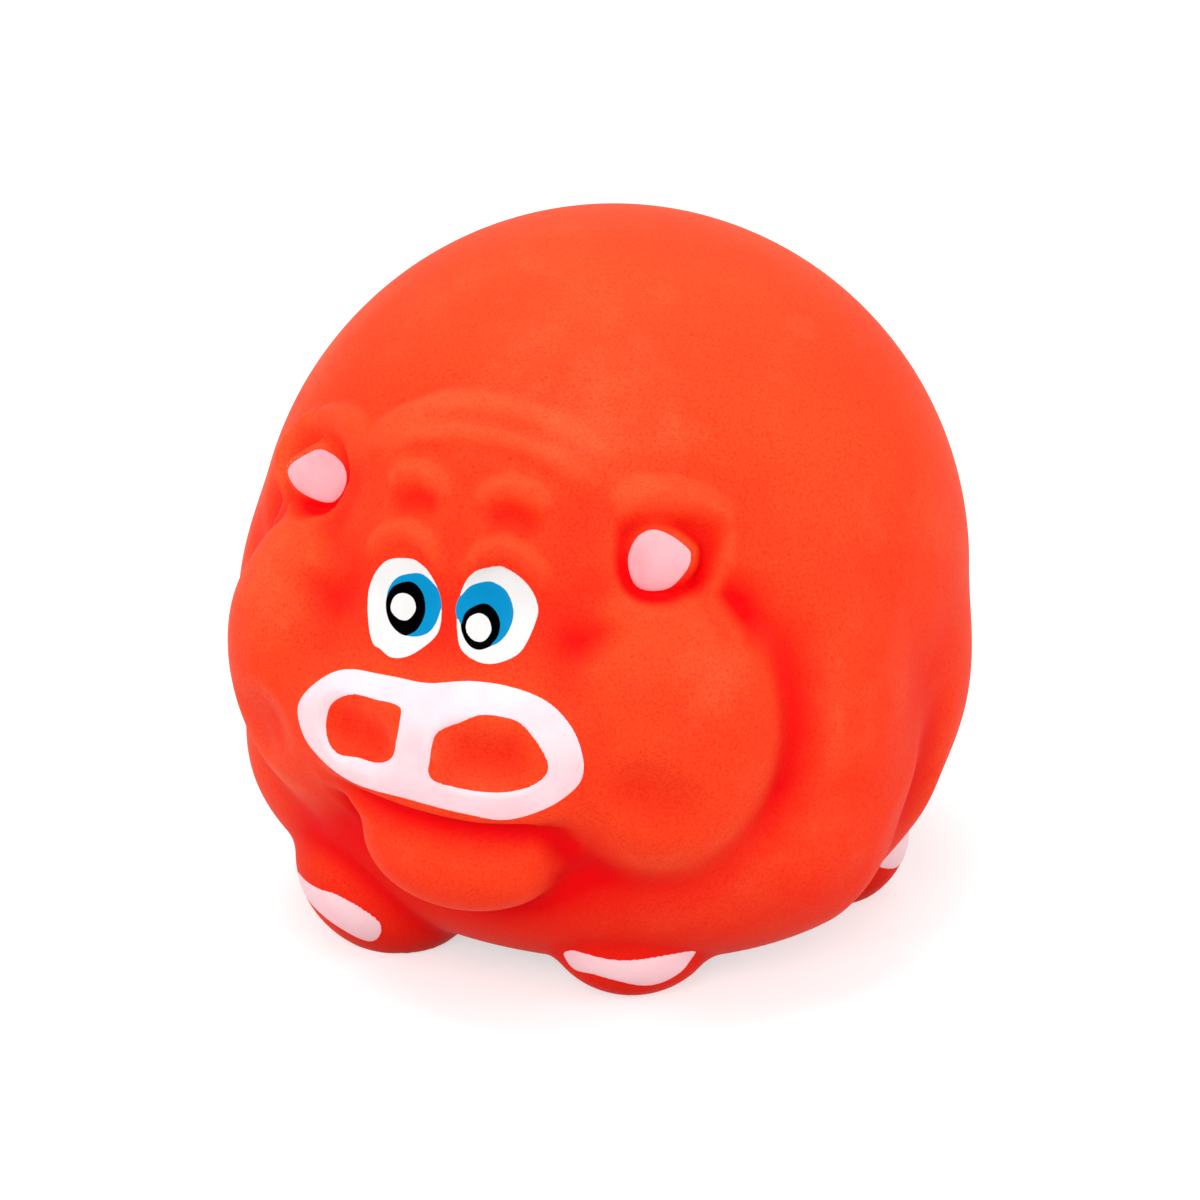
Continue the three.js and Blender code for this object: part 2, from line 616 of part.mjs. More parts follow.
const flangeRadius = plugHoleRadius + flangeOverlap;
const boreRadius = barrelRadius - barrelWall;
const barbBottom = flangeThickness + flangeSeatGap + collarHeight + plugClearance;
const housingProfile = [
  [boreRadius, 0],
  [flangeRadius, 0],
  [flangeRadius, flangeThickness],
  [barrelRadius, flangeThickness],
  [barrelRadius, barbBottom],
  [barbRadius, barbBottom],
  [barrelRadius, barbBottom + barbHeight],
  [barrelRadius, barrelLength],
  [boreRadius - lipOverlap, barrelLength],
  [boreRadius - lipOverlap, lipBottom],
  [boreRadius, lipBottom],
  [boreRadius, ledgeTop],
  [boreRadius - ledgeWidth, ledgeTop],
  [boreRadius - ledgeWidth, ledgeBottom],
  [boreRadius, ledgeBottom],
  [boreRadius, 0],
];
const housing = new THREE.LatheGeometry(housingProfile.map(([r, z]) => new THREE.Vector2(r, z)), plugSides);
housing.rotateX(Math.PI / 2);
addPiece('squeaker_housing', housing, plasticWhite, plug);

// The sound grille closes the housing's mouth, flush with its flange.
const innerRadius = boreRadius - plugClearance;
const grilleShape = new THREE.Shape().absarc(0, 0, innerRadius, 0, 2 * Math.PI);
const grilleHoles = [[0, 0]];
const grilleHoleCircle = innerRadius - grilleRim - grilleHoleRadius;
for (let i = 0; i < grilleHoleCount; i += 1) {
  const angle = 2 * Math.PI * i / grilleHoleCount;
  grilleHoles.push([grilleHoleCircle * Math.cos(angle), grilleHoleCircle * Math.sin(angle)]);
}
for (const [x, y] of grilleHoles) {
  grilleShape.holes.push(new THREE.Path().absarc(x, y, grilleHoleRadius, 0, 2 * Math.PI, true));
}
const grille = new THREE.ExtrudeGeometry(grilleShape, {
  depth: grilleThickness,
  bevelEnabled: false,
  curveSegments: 9,
});
addPiece('sound_grille', grille, plasticWhite, plug);

// A woven screen under the housing's lip keeps the fibre out of the reed.
const screen = upright(innerRadius, screenBottom, screenTop, smallSides);
addPiece('dust_screen', screen, screenGrey, plug);

// The tone block: a round collar on the housing's ledge, with a half-round post. An air channel
// runs down the post's flat face and out through the collar, and the reed lies over the channel.
const blockRadius = innerRadius - airPassage;
const airChannelWidth = reedWidth - 2 * reedOverlap;
const frontHalf = slab([-innerRadius, -innerRadius, 0], [innerRadius, 0, barrelLength]);
const tipRelief = slab([-innerRadius, -innerRadius, clampEdge],
  [innerRadius, reedOpening - reedGap, barrelLength]);
const airChannel = slab([-airChannelWidth / 2, -innerRadius, 0],
  [airChannelWidth / 2, airChannelDepth, reedTop - airChannelShortfall]);
const blockCollar = solidOf(upright(innerRadius, blockBottom, blockCollarTop, smallSides));
const post = solidOf(upright(blockRadius, blockBottom, blockTop, smallSides))
  .subtract(solidOf(frontHalf))
  .subtract(solidOf(tipRelief));
const toneBlock = post.add(blockCollar).subtract(solidOf(airChannel));
addPiece('tone_block', geometryOf(toneBlock), plasticAmber, plug);

// The reed: a springy strip with a round tip. It flexes where the wedge's edge lets it go.
const reedCorner = reedWidth / 2;
const reedShape = new THREE.Shape();
reedShape.moveTo(-reedCorner, reedBottom - clampEdge);
reedShape.lineTo(reedCorner, reedBottom - clampEdge);
reedShape.lineTo(reedCorner, reedFreeLength - reedCorner);
reedShape.absarc(0, reedFreeLength - reedCorner, reedCorner, 0, Math.PI);
reedShape.closePath();
const reed = new THREE.ExtrudeGeometry(reedShape, {
  depth: reedThickness,
  bevelEnabled: false,
  curveSegments: 6,
});
reed.rotateX(Math.PI / 2);
const reedPiece = addPiece('squeaker_reed', reed, reedBrass, plug);
reedPiece.position.set(0, -reedGap, clampEdge);

// The wedge holds the reed's root against the post.
const wedgeFace = -reedGap - reedThickness - reedGap;
const wedgeSpace = slab([-innerRadius, wedgeFace - wedgeDepth, 0], [innerRadius, wedgeFace, barrelLength]);
const wedge = solidOf(upright(innerRadius, blockCollarTop + plugClearance, clampEdge, smallSides))
  .intersect(solidOf(wedgeSpace));
addPiece('reed_wedge', geometryOf(wedge), plasticAmber, plug);

// The toy stands on its soles over the middle of its own length.
const size = new THREE.Box3().setFromObject(toy);
toy.position.set(0, -(size.min.y + size.max.y) / 2, -floorHeight);

export default toy;
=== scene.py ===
# A round latex dog toy in the shape of a pig, dressed round its packed construction.
# Metres, +Z up. The pig looks along -Y, its left side is +X, and its soles are on Z = 0.
import math

import bpy
import numpy as np
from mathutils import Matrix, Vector


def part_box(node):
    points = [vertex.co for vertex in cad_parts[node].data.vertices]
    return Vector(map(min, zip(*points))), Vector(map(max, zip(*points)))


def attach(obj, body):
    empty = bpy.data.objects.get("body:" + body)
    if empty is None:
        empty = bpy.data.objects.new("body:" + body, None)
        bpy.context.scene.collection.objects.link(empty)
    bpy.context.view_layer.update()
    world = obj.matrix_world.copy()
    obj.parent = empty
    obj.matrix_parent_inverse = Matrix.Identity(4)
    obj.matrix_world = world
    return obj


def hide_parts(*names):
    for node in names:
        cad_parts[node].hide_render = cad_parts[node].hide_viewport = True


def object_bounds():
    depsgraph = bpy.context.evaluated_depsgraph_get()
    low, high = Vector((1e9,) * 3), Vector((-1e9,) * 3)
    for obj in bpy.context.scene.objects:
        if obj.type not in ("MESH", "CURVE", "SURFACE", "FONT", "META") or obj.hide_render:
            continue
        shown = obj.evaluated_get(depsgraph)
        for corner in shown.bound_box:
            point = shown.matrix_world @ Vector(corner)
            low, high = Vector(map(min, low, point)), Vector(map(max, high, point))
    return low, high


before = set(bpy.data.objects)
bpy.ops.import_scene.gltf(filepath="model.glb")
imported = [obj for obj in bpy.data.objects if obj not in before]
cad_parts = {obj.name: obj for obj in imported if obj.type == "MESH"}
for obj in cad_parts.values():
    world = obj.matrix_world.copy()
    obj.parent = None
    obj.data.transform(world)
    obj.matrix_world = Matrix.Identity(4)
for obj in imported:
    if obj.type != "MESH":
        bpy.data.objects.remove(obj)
cad_box = [list(corner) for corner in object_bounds()]

# The latex skin. The real one is a single hollow moulding of red latex, two millimetres thick.
# A cube is cut into cells, blown up to a ball and drawn towards the face. Its points are then
# pushed out as clay is: the big swellings first, and the folds, ears and creases over them.
MM = 0.001
TINY = 1e-9
BALL_RADIUS = 44.0
BALL_HALF_WIDTH = 43.5
FOOT_STAND_OFF = 0.3
BELLY_FLAT_DEPTH = 2.2
BELLY_FLAT_SOFTNESS = 1.0
SOLE_HEIGHT = -BALL_RADIUS - FOOT_STAND_OFF
BELLY_HEIGHT = BELLY_FLAT_DEPTH - BALL_RADIUS

plug_low, plug_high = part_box("squeaker_housing")
ball_middle = Vector((
    (plug_low.x + plug_high.x) / 2,
    (plug_low.y + plug_high.y) / 2,
    cad_box[0][2] - SOLE_HEIGHT * MM,
))

# Each swelling is an egg on the ball, in millimetres and degrees: turn goes round from the nose
# to the pig's left, rise goes up from level, and the crown stands out from the ball.
SWELLINGS = [
    dict(part="base", turn=0, rise=-90, out=0.2, across=43, tall=34, deep=27, boxy=2.7, blend=3, forward=5),
    dict(part="muzzle", turn=0, rise=-12.5, out=7.6, across=24, tall=17, deep=17, blend=4),
    dict(part="snout", turn=0, rise=-7.2, out=6.8, across=20.4, tall=9, deep=11, blend=2),
    dict(part="chin", turn=1.6, rise=-27.8, out=9.8, across=14.4, tall=9, deep=14, boxy=2.3, blend=1.8),
    dict(part="left cheek", turn=36, rise=-10, out=6.3, across=14.6, tall=18.6, deep=12.5, boxy=2.3,
         blend=2.6),
    dict(part="right cheek", turn=-35, rise=-10, out=6.3, across=13.8, tall=18.2, deep=12.5, boxy=2.2,
         blend=4),
    dict(part="jowl", paired=True, turn=67, rise=-21, out=3.4, across=15, tall=24, deep=20, blend=4),
    dict(part="shoulder", paired=True, turn=62, rise=-33, out=6.2, across=17, tall=15, deep=17, blend=2.5),
    dict(part="right foreleg", turn=-52, rise=-35.5, out=7.6, across=12, tall=16, deep=14, blend=3),
    dict(part="haunch", paired=True, turn=104, rise=-29.5, out=3.0, across=16, tall=21, deep=17, blend=4),
    dict(part="rump", turn=180, rise=-8, out=1.6, across=30, tall=30, deep=30, blend=6),
    dict(part="left front foot", turn=32, rise=-53.5, out=9.8, across=10.6, tall=8, deep=9.4, blend=1.4),
    dict(part="right front foot", turn=-41, rise=-50, out=12.7, across=12.4, tall=12, deep=11, blend=1.4),
    dict(part="hind foot", paired=True, turn=121, rise=-53, out=11.2, across=9, tall=10, deep=10, blend=1.4),
]

# The finer relief. A stroke raises or lowers the skin along a line, over a band that fades to
# both sides, and fades out towards its ends where fade is given as a share of its length.
STROKES = [
    dict(part="outer forehead fold", height=1.15, half_width=2.7, fade=0.2,
         line=[(-27, 30), (-22, 34.4), (-16.4, 38.6), (-10.7, 41.3), (-4.4, 42.7), (4.5, 42.7), (12.3, 41.8),
               (19.1, 39.6), (24.8, 36.7), (29, 33.5)]),
    dict(part="inner forehead fold", height=1.0, half_width=2.3, fade=0.2,
         line=[(-21, 30.5), (-18.1, 32.7), (-12.2, 36.2), (-3.5, 38.1), (5.4, 38.1), (13.4, 36.7),
               (21.4, 33.6), (24.9, 30.3)]),
    dict(part="face below the folds", height=-0.9, half_width=9.0, line=[(-14, 25), (0, 28), (14, 25)]),
    dict(part="nose bridge", height=-1.1, half_width=8.0, line=[(0, 6), (0, 17)]),
    dict(part="mouth", height=-2.3, half_width=2.9, fade=0.2,
         line=[(-21, -17.5), (-14, -18.3), (-7, -18.8), (0, -19.6), (8, -20.4), (16, -20.3), (22, -18)]),
    dict(part="tail", height=2.6, half_width=2.6,
         line=[(176, 9), (178, 11.5), (183, 12.5), (187, 16), (186, 20.5), (181, 22.5), (176.5, 20),
               (177, 16.5), (180.5, 16)]),
    dict(part="brow", paired=True, height=1.8, half_width=2.6, fade=0.3,
         line=[(3, 26.6), (5, 29.4), (8.6, 31), (12.4, 30.2), (16, 27)]),
    dict(part="brow crease", paired=True, height=-0.9, half_width=2.9, fade=0.25,
         line=[(3.6, 25.4), (7.5, 26.8), (11.5, 26.4), (15.4, 24.6)]),
    dict(part="eyelid", paired=True, height=1.5, half_width=2.0, fade=0.3,
         line=[(1.6, 15.5), (2.9, 18.2), (5, 20.6), (8.8, 21.9), (12.4, 21), (15.2, 18.6), (17, 15)]),
    dict(part="eye hollow", paired=True, height=-1.0, half_width=8.5, line=[(7, 7), (9, 14)]),
    dict(part="temple", paired=True, height=-1.0, half_width=7.0, line=[(21, 13), (23, 20), (24, 26)]),
    dict(part="left ear arch", height=2.1, half_width=3.7, fade=0.2,
         line=[(26.5, 27.6), (28.7, 29), (32, 30.4), (37.1, 30.2), (41.2, 28.8), (44.3, 26.4), (45.8, 23.6)]),
    dict(part="left ear tip", height=1.6, half_width=2.0, fade=0.25,
         line=[(43, 27.4), (45.4, 25), (45.8, 22.6), (45, 19.6), (43.6, 17)]),
    dict(part="right ear arch", height=1.8, half_width=2.8, fade=0.2,
         line=[(-25, 33.4), (-29, 34.2), (-33, 34.2), (-38, 32.8), (-42, 31)]),
    dict(part="right ear tip", height=1.7, half_width=3.0, fade=0.2,
         line=[(-40, 31.8), (-44.5, 29.6), (-47.4, 26), (-47.4, 21.5), (-45.6, 17)]),
    dict(part="right ear front", height=-1.3, half_width=4.5, line=[(-27.8, 21), (-27.2, 25)]),
    dict(part="ear side", paired=True, height=-1.5, half_width=6.5, fade=0.35,
         line=[(47.5, 19), (45, 12), (47.5, 5)]),
    dict(part="ear ridge", paired=True, height=1.0, half_width=2.0, fade=0.2,
         line=[(44.4, 18.6), (43.3, 16), (42.7, 14.4), (43.6, 12.6), (45, 10.4), (47, 7)]),
    dict(part="side valley", paired=True, height=-0.8, half_width=6.5, fade=0.3,
         line=[(50.5, 24), (49.4, 17), (50.6, 11), (53, 5), (54.5, -2), (54, -9), (51.5, -16), (47, -23),
               (41, -30)]),
    dict(part="smile crease", paired=True, height=-0.45, half_width=2.6, fade=0.35,
         line=[(16.5, 9.6), (17.6, 8), (20, 7.2), (23, 7.8), (26.4, 9.6), (30.6, 10.4)]),
    dict(part="cheek crown", paired=True, height=0.9, half_width=3.0, fade=0.3,
         line=[(19, 10.6), (25.2, 13), (30.5, 13.9), (35.7, 13.6), (40.2, 12), (44, 9)]),
    dict(part="cheek dimple", paired=True, height=-1.5, half_width=5.5, line=[(31, -12), (34, -14)]),
    dict(part="chin side", paired=True, height=-1.4, half_width=3.0, fade=0.3,
         line=[(19, -19), (18.5, -24), (17.5, -30), (15, -34)]),
    dict(part="flank hollow", paired=True, height=-1.8, half_width=9.0, line=[(86, -32), (88, -40)]),
    dict(part="haunch crease", paired=True, height=-1.5, half_width=5.5, fade=0.3,
         line=[(90, -10), (91, -28), (90, -45)]),
    dict(part="nostril dish", paired=True, height=-2.3, half_width=4.4, line=[(7.4, -7.2), (12.4, -7.2)]),
]

# The right ear was pressed a little higher and further out than the left one.
RIGHT_EAR_SHIFT = (2.0, 3.6)


def on_side(places, part, sign):
    """Places given for the left side, as they are or mirrored to the right."""
    places = np.array(places, dtype=float)
    if sign < 0 and part.startswith("ear"):
        places = places + RIGHT_EAR_SHIFT
    return places * [sign, 1]


# The ears' inner faces look nearly straight ahead, and cut into the ball. A seat is a flat face
# inside an outline, through a place at the given radius, square to the way that it faces.
CUP_OUTLINE = [
    (28.4, 25.6), (31.6, 27.2), (36.7, 26.9), (40.4, 26.7), (44.4, 25.3), (44.9, 23.6), (44.3, 21.4),
    (43.0, 18.8), (41.6, 16.8), (38.6, 15.3), (34.7, 14.5), (30.4, 15.7), (28.4, 18.4), (27.9, 22.3),
]
LEFT_PAD_OUTLINE = [
    (33.4, 25.1), (36.2, 24.2), (38.9, 22.1), (39.5, 20.8), (38.9, 18.8), (36.4, 16.2), (33.6, 15.6),
    (31.1, 16.2), (29.8, 18.2), (29.5, 21.2), (30.9, 24.0),
]
RIGHT_PAD_OUTLINE = [
    (-36.6, 28.0), (-34.0, 28.3), (-32.0, 27.5), (-31.4, 25.6), (-32.4, 22.9), (-34.4, 20.7), (-37.3, 20.0),
    (-40.4, 20.3), (-41.9, 21.8), (-41.6, 23.4), (-39.6, 25.6),
]
SEATS = [
    dict(turn=36, rise=21, radius=41.0, faces=(27, 8), soft=1.2,
         outline=CUP_OUTLINE),
    dict(turn=-38, rise=24.6, radius=41.0, faces=(-22, 4), soft=1.6,
         outline=on_side(CUP_OUTLINE, "ear", -1)),
    dict(turn=34.9, rise=22.3, radius=42.7, faces=(19, 6), soft=0.8, grow=1.2, dome=0.5,
         outline=LEFT_PAD_OUTLINE),
    dict(turn=-36.4, rise=25.6, radius=42.7, faces=(-5, 0), soft=1.0, grow=1.3, dome=0.5,
         outline=RIGHT_PAD_OUTLINE),
]


def direction_of(turn, rise):
    turn, rise = np.radians(turn), np.radians(rise)
    return np.stack([np.sin(turn) * np.cos(rise), -np.cos(turn) * np.cos(rise), np.sin(rise)], -1)


def axes_at(turn, rise):
    """The ways across, up and out of the ball at a turn and rise."""
    out = direction_of(turn, rise)
    across = np.array([math.cos(math.radians(turn)), math.sin(math.radians(turn)), 0.0])
    return across, np.cross(out, across), out


def egg_distance(points, egg):
    """About how far points lie outside an egg, below 0 inside it."""
    across, up, out = axes_at(egg["turn"], egg["rise"])
    centre = out * (BALL_RADIUS + egg["out"] - egg["deep"]) - [0, egg.get("forward", 0), 0]
    offset = points - centre
    girth = np.hypot(offset @ across / egg["across"], offset @ up / egg["tall"])
    depth = np.abs(offset @ out / egg["deep"])
    boxy = egg.get("boxy", 2)
    share = (girth ** boxy + depth ** boxy) ** (1 / boxy) + TINY
    return np.linalg.norm(offset, axis=1) * (1 - 1 / share)


def joined(a, b, width):
    """The smaller of two distances, with the join rounded over a width."""
    near = np.maximum(width - np.abs(a - b), 0) / width
    return np.minimum(a, b) - near * near * width / 4


def body_distance(points):
    """How far points lie outside the ball and its swellings. The feet come after the flat belly."""
    mirrored = points.copy()
    mirrored[:, 0] = np.abs(mirrored[:, 0])
    share = np.linalg.norm(points / [BALL_HALF_WIDTH, BALL_RADIUS, BALL_RADIUS], axis=1) + TINY
    distance = np.linalg.norm(points, axis=1) * (1 - 1 / share)
    for is_foot in (False, True):
        for egg in SWELLINGS:
            if egg["part"].endswith("foot") == is_foot:
                seen = mirrored if egg.get("paired") else points
                distance = joined(distance, egg_distance(seen, egg), egg["blend"])
        if not is_foot:
            distance = -joined(-distance, points[:, 2] - BELLY_HEIGHT, BELLY_FLAT_SOFTNESS)
    return distance


MARCH_FROM = 1.35 * BALL_RADIUS
MARCH_STEP = 0.8
HALVINGS = 14


def smooth_radius(directions):
    """Steps inwards along each direction until the skin is met, and then halves the last step."""
    low = np.full(len(directions), MARCH_FROM)
    outside = np.full(len(directions), True)
    while outside.any():
        outside[outside] = body_distance(directions[outside] * low[outside, None]) > 0
        low[outside] -= MARCH_STEP
    high = low + MARCH_STEP
    for _ in range(HALVINGS):
        middle = (low + high) / 2
        outside = body_distance(directions * middle[:, None]) > 0
        low, high = np.where(outside, low, middle), np.where(outside, middle, high)
    return low


def stroke_raise(places, stroke, sign):
    """How much a stroke raises the skin at places on the ball."""
    line = direction_of(*on_side(stroke["line"], stroke["part"], sign).T) * BALL_RADIUS
    lengths = np.linalg.norm(np.diff(line, axis=0), axis=1)
    reached = np.concatenate([[0], np.cumsum(lengths)])
    gap = np.full(len(places), np.inf)
    along = np.zeros(len(places))
    for start, end, length, before in zip(line[:-1], line[1:], lengths, reached):
        share = np.clip((places - start) @ (end - start) / length ** 2, 0, 1)
        here = np.linalg.norm(places - start - share[:, None] * (end - start), axis=1)
        along = np.where(here < gap, (before + share * length) / reached[-1], along)
        gap = np.minimum(gap, here)
    band = (1 - np.minimum(gap / stroke["half_width"], 1) ** 2) ** 2
    fade = stroke.get("fade")
    ends = np.clip(np.minimum(along, 1 - along) / fade, 0, 1) if fade else 1
    return stroke["height"] * band * ends


def closed_curve(points, steps=8):
    """A smooth closed line through the points, with a few steps from each point to the next."""
    points = np.array(points, dtype=float)
    before, after, beyond = np.roll(points, 1, 0), np.roll(points, -1, 0), np.roll(points, -2, 0)
    t = (np.arange(steps) / steps)[None, :, None]
    p, q, r, s = (x[:, None, :] for x in (before, points, after, beyond))
    bend = 2 * p - 5 * q + 4 * r - s
    twist = 3 * q - p - 3 * r + s
    curve = 0.5 * (2 * q + (r - p) * t + bend * t ** 2 + twist * t ** 3)
    return curve.reshape(-1, 2)


LEAST_COSINE = 0.05


def on_plane(directions, turn, rise):
    """Where directions meet the plane that touches the ball at turn and rise, in millimetres."""
    across, up, out = axes_at(turn, rise)
    depth = np.maximum(directions @ out, LEAST_COSINE)
    return np.stack([directions @ across / depth, directions @ up / depth], -1) * BALL_RADIUS


def inside_by(flat, line):
    """How far points lie inside a closed line on the same plane, or outside it, below 0."""
    gap = np.full(len(flat), np.inf)
    inside = np.full(len(flat), False)
    for start, end in zip(line, np.roll(line, -1, 0)):
        step = end - start
        share = np.clip((flat - start) @ step / max(step @ step, TINY), 0, 1)
        gap = np.minimum(gap, np.linalg.norm(flat - start - share[:, None] * step, axis=1))
        crosses = (start[1] > flat[:, 1]) != (end[1] > flat[:, 1])
        with np.errstate(divide="ignore", invalid="ignore"):
            edge = start[0] + (flat[:, 1] - start[1]) / step[1] * step[0]
        inside ^= crosses & (flat[:, 0] < edge)
    return np.where(inside, gap, -gap)


SEAT_REACH_COSINE = 0.9
DOME_RUN = 2.0


def seated_radius(radius, directions, seat):
    """The radius with one flat or slightly domed seat let into it."""
    place = seat["turn"], seat["rise"]
    out, faces = direction_of(*place), direction_of(*seat["faces"])
    near = np.where(directions @ out > SEAT_REACH_COSINE)[0]
    line = direction_of(*closed_curve(seat["outline"]).T)
    depth = inside_by(on_plane(directions[near], *place), on_plane(line, *place)) + seat.get("grow", 0)
    share = np.clip(0.5 + depth / (2 * seat["soft"]), 0, 1)
    share = share * share * (3 - 2 * share)
    plane = seat["radius"] * (out @ faces) / (directions[near] @ faces)
    plane += seat.get("dome", 0) * (1 - np.exp(-np.maximum(depth, 0) / DOME_RUN))
    seated = radius.copy()
    seated[near] += share * (plane - radius[near])
    return seated


def skin_radius(directions):
    radius = smooth_radius(directions)
    places = directions * BALL_RADIUS
    for stroke in STROKES:
        for sign in (1, -1) if stroke.get("paired") else (1,):
            radius += stroke_raise(places, stroke, sign)
    for seat in SEATS:
        radius = seated_radius(radius, directions, seat)
    return np.minimum(radius, SOLE_HEIGHT / np.minimum(directions[:, 2], -TINY))


def deselect_all():
    bpy.ops.object.select_all(action="DESELECT")


def select_only(piece):
    deselect_all()
    piece.select_set(True)
    bpy.context.view_layer.objects.active = piece


def places_of(piece):
    places = np.empty(len(piece.data.vertices) * 3)
    piece.data.vertices.foreach_get("co", places)
    return places.reshape(-1, 3)


def move_places(piece, places):
    piece.data.vertices.foreach_set("co", np.asarray(places, dtype=np.float32).ravel())
    piece.data.update()


FACE_RISE = 10.0
FACE_GATHER = 0.42


def blown_ball(name, cuts, gather, radius_of):
    """A cut cube blown up to a ball of cells, drawn towards the face, at the given radius."""
    deselect_all()
    bpy.ops.mesh.primitive_cube_add(size=2)
    piece = bpy.context.object
    piece.name = name
    bpy.ops.object.mode_set(mode="EDIT")
    for count in cuts:
        bpy.ops.mesh.subdivide(number_cuts=count)
    bpy.ops.object.mode_set(mode="OBJECT")
    directions = np.tan(places_of(piece) * math.pi / 4)
    directions /= np.linalg.norm(directions, axis=1)[:, None]
    to_face = -directions[:, 1]
    grown = math.sqrt(1 - gather ** 2) / (1 + gather * to_face)
    directions *= grown[:, None]
    directions[:, 1] = -(to_face + gather) / (1 + gather * to_face)
    lean = math.radians(-FACE_RISE)
    tilt = np.array([[1, 0, 0], [0, math.cos(lean), -math.sin(lean)], [0, math.sin(lean), math.cos(lean)]])
    directions = directions @ tilt.T
    directions /= np.linalg.norm(directions, axis=1)[:, None]
    move_places(piece, np.array(ball_middle) + directions * radius_of(directions)[:, None] * MM)
    return piece


def use_modifier(piece, kind, **settings):
    select_only(piece)
    modifier = piece.modifiers.new(kind.title(), kind)
    for key, value in settings.items():
        setattr(modifier, key, value)
    bpy.ops.object.modifier_apply(modifier=modifier.name)


def combine(piece, other, operation="DIFFERENCE"):
    """Cuts the piece with another mesh, or joins the two, and then removes the other."""
    use_modifier(piece, "BOOLEAN", object=other, operation=operation, solver="MANIFOLD")
    bpy.data.objects.remove(other)


def upright_cylinder(radius, top, sides):
    """A cylinder in line with the squeaker, as long as the ball's radius, up to the given height."""
    deselect_all()
    bpy.ops.mesh.primitive_cylinder_add(
        vertices=sides, radius=radius * MM, depth=BALL_RADIUS * MM,
        location=ball_middle + Vector((0, 0, top - BALL_RADIUS / 2)) * MM,
    )
    return bpy.context.object


def shade_smooth(piece, angle):
    select_only(piece)
    bpy.ops.object.shade_smooth_by_angle(angle=math.radians(angle))


SKIN_CUTS = (9, 11)
HOLLOW_CUTS = (9,)
WALL_THICKNESS = 2.0
HOLLOW_SMOOTHING = 5.0
HOLLOW_SAMPLES = 6
SAMPLE_START = (0.0, 0.6, 0.8)


def hollow_radius(directions):
    """The wall's inside is rounder than its outside: it misses the creases, toes and ears."""
    side = np.cross(directions, SAMPLE_START)
    side *= math.tan(math.radians(HOLLOW_SMOOTHING)) / np.linalg.norm(side, axis=1)[:, None]
    other = np.cross(directions, side)
    radius = skin_radius(directions)
    for step in range(HOLLOW_SAMPLES):
        angle = math.tau * step / HOLLOW_SAMPLES
        near = directions + side * math.cos(angle) + other * math.sin(angle)
        near /= np.linalg.norm(near, axis=1)[:, None]
        radius = np.minimum(radius, skin_radius(near))
    return radius - WALL_THICKNESS


PLUG_HOLE_RADIUS = 8.3
PLUG_HOLE_SIDES = 72
SOFT_EDGE_ANGLE = 50.0

skin = blown_ball("latex_skin_dressed", SKIN_CUTS, FACE_GATHER, skin_radius)
combine(skin, blown_ball("hollow", HOLLOW_CUTS, 0.0, hollow_radius))
combine(skin, upright_cylinder(PLUG_HOLE_RADIUS, -BALL_RADIUS / 2, PLUG_HOLE_SIDES))
shade_smooth(skin, SOFT_EDGE_ANGLE)


def linear(red, green, blue):
    """A colour as it is seen, 0 to 255, as the shader's own numbers, by the sRGB curve."""
    shares = [part / 255 for part in (red, green, blue)]
    return [((s + 0.055) / 1.055) ** 2.4 if s > 0.04 else s / 12.92 for s in shares] + [1.0]


def new_material(name, color, roughness):
    material = bpy.data.materials.new(name)
    material.use_nodes = True
    shader = material.node_tree.nodes["Principled BSDF"]
    shader.inputs["Base Color"].default_value = color
    shader.inputs["Roughness"].default_value = roughness
    return material, shader


def add_node(owner, kind, **inputs):
    """A new node for a material or the world, with inputs by name, where _ stands for a space."""
    node = owner.node_tree.nodes.new(kind)
    for key, value in inputs.items():
        node.inputs[key.replace("_", " ")].default_value = value
    return node


def object_noise(material, scale, detail, roughness=0.5):
    """Noise that is fixed to the piece: scale is the number of its cells to a metre."""
    place = add_node(material, "ShaderNodeTexCoord")
    noise = add_node(material, "ShaderNodeTexNoise", Scale=scale, Detail=detail, Roughness=roughness)
    material.node_tree.links.new(place.outputs["Object"], noise.inputs["Vector"])
    return noise


def vary_color(material, shader, noise, colors, stops=(0.35, 0.65)):
    ramp = add_node(material, "ShaderNodeValToRGB")
    for element, stop, color in zip(ramp.color_ramp.elements, stops, colors):
        element.position = stop
        element.color = color
    material.node_tree.links.new(noise.outputs["Fac"], ramp.inputs["Fac"])
    material.node_tree.links.new(ramp.outputs["Color"], shader.inputs["Base Color"])


def add_bump(material, shader, noise, depth):
    """Fine relief of a depth in millimetres, over any that the shader has already."""
    bump = add_node(material, "ShaderNodeBump", Strength=1.0, Distance=depth * MM)
    links = material.node_tree.links
    links.new(noise.outputs["Fac"], bump.inputs["Height"])
    earlier = shader.inputs["Normal"].links
    if earlier:
        links.new(earlier[0].from_socket, bump.inputs["Normal"])
    links.new(bump.outputs["Normal"], shader.inputs["Normal"])


# Painted shade and painted highlight. The red is painted deeper in the creases and low down, where
# shade falls and light bounces from red to red, and painted lighter on the crown and on what stands out,
# where the light falls. How much is kept on the mesh, above 0 for painted shade in a crease and below 0
# for a painted highlight on a ridge, for the material to read. Depths are measured against the skin
# averaged over a near and a wide angle, and heights from the ball's middle.
BLUR_STEP = 3
BLUR_TOP = 88
# Gains of painted shade in creases and of painted highlight on ridges, over a near and a wide angle.
NEAR_PAINTED_LIGHT = dict(blur=4.5, ridge=0.45, crease=0.26)
WIDE_PAINTED_LIGHT = dict(blur=13, ridge=0.0, crease=0.25)
MOST_RIDGE = 0.3
# Painted light by height: the red is painted lighter above this level and deeper below it.
PAINTED_LIGHT_BY_HEIGHT = dict(level=22.0, gain=0.0065)
# Painted shade, deeper still below this height.
LOW_FROM = -22.0
LOW_PAINTED_SHADE = 0.024


def cell_and_share(steps, count):
    """The cell of a row that each place lies in, and how far along the cell it is."""
    cell = np.clip(steps.astype(int), 0, count - 2)
    return cell, np.clip(steps - cell, 0, 1)


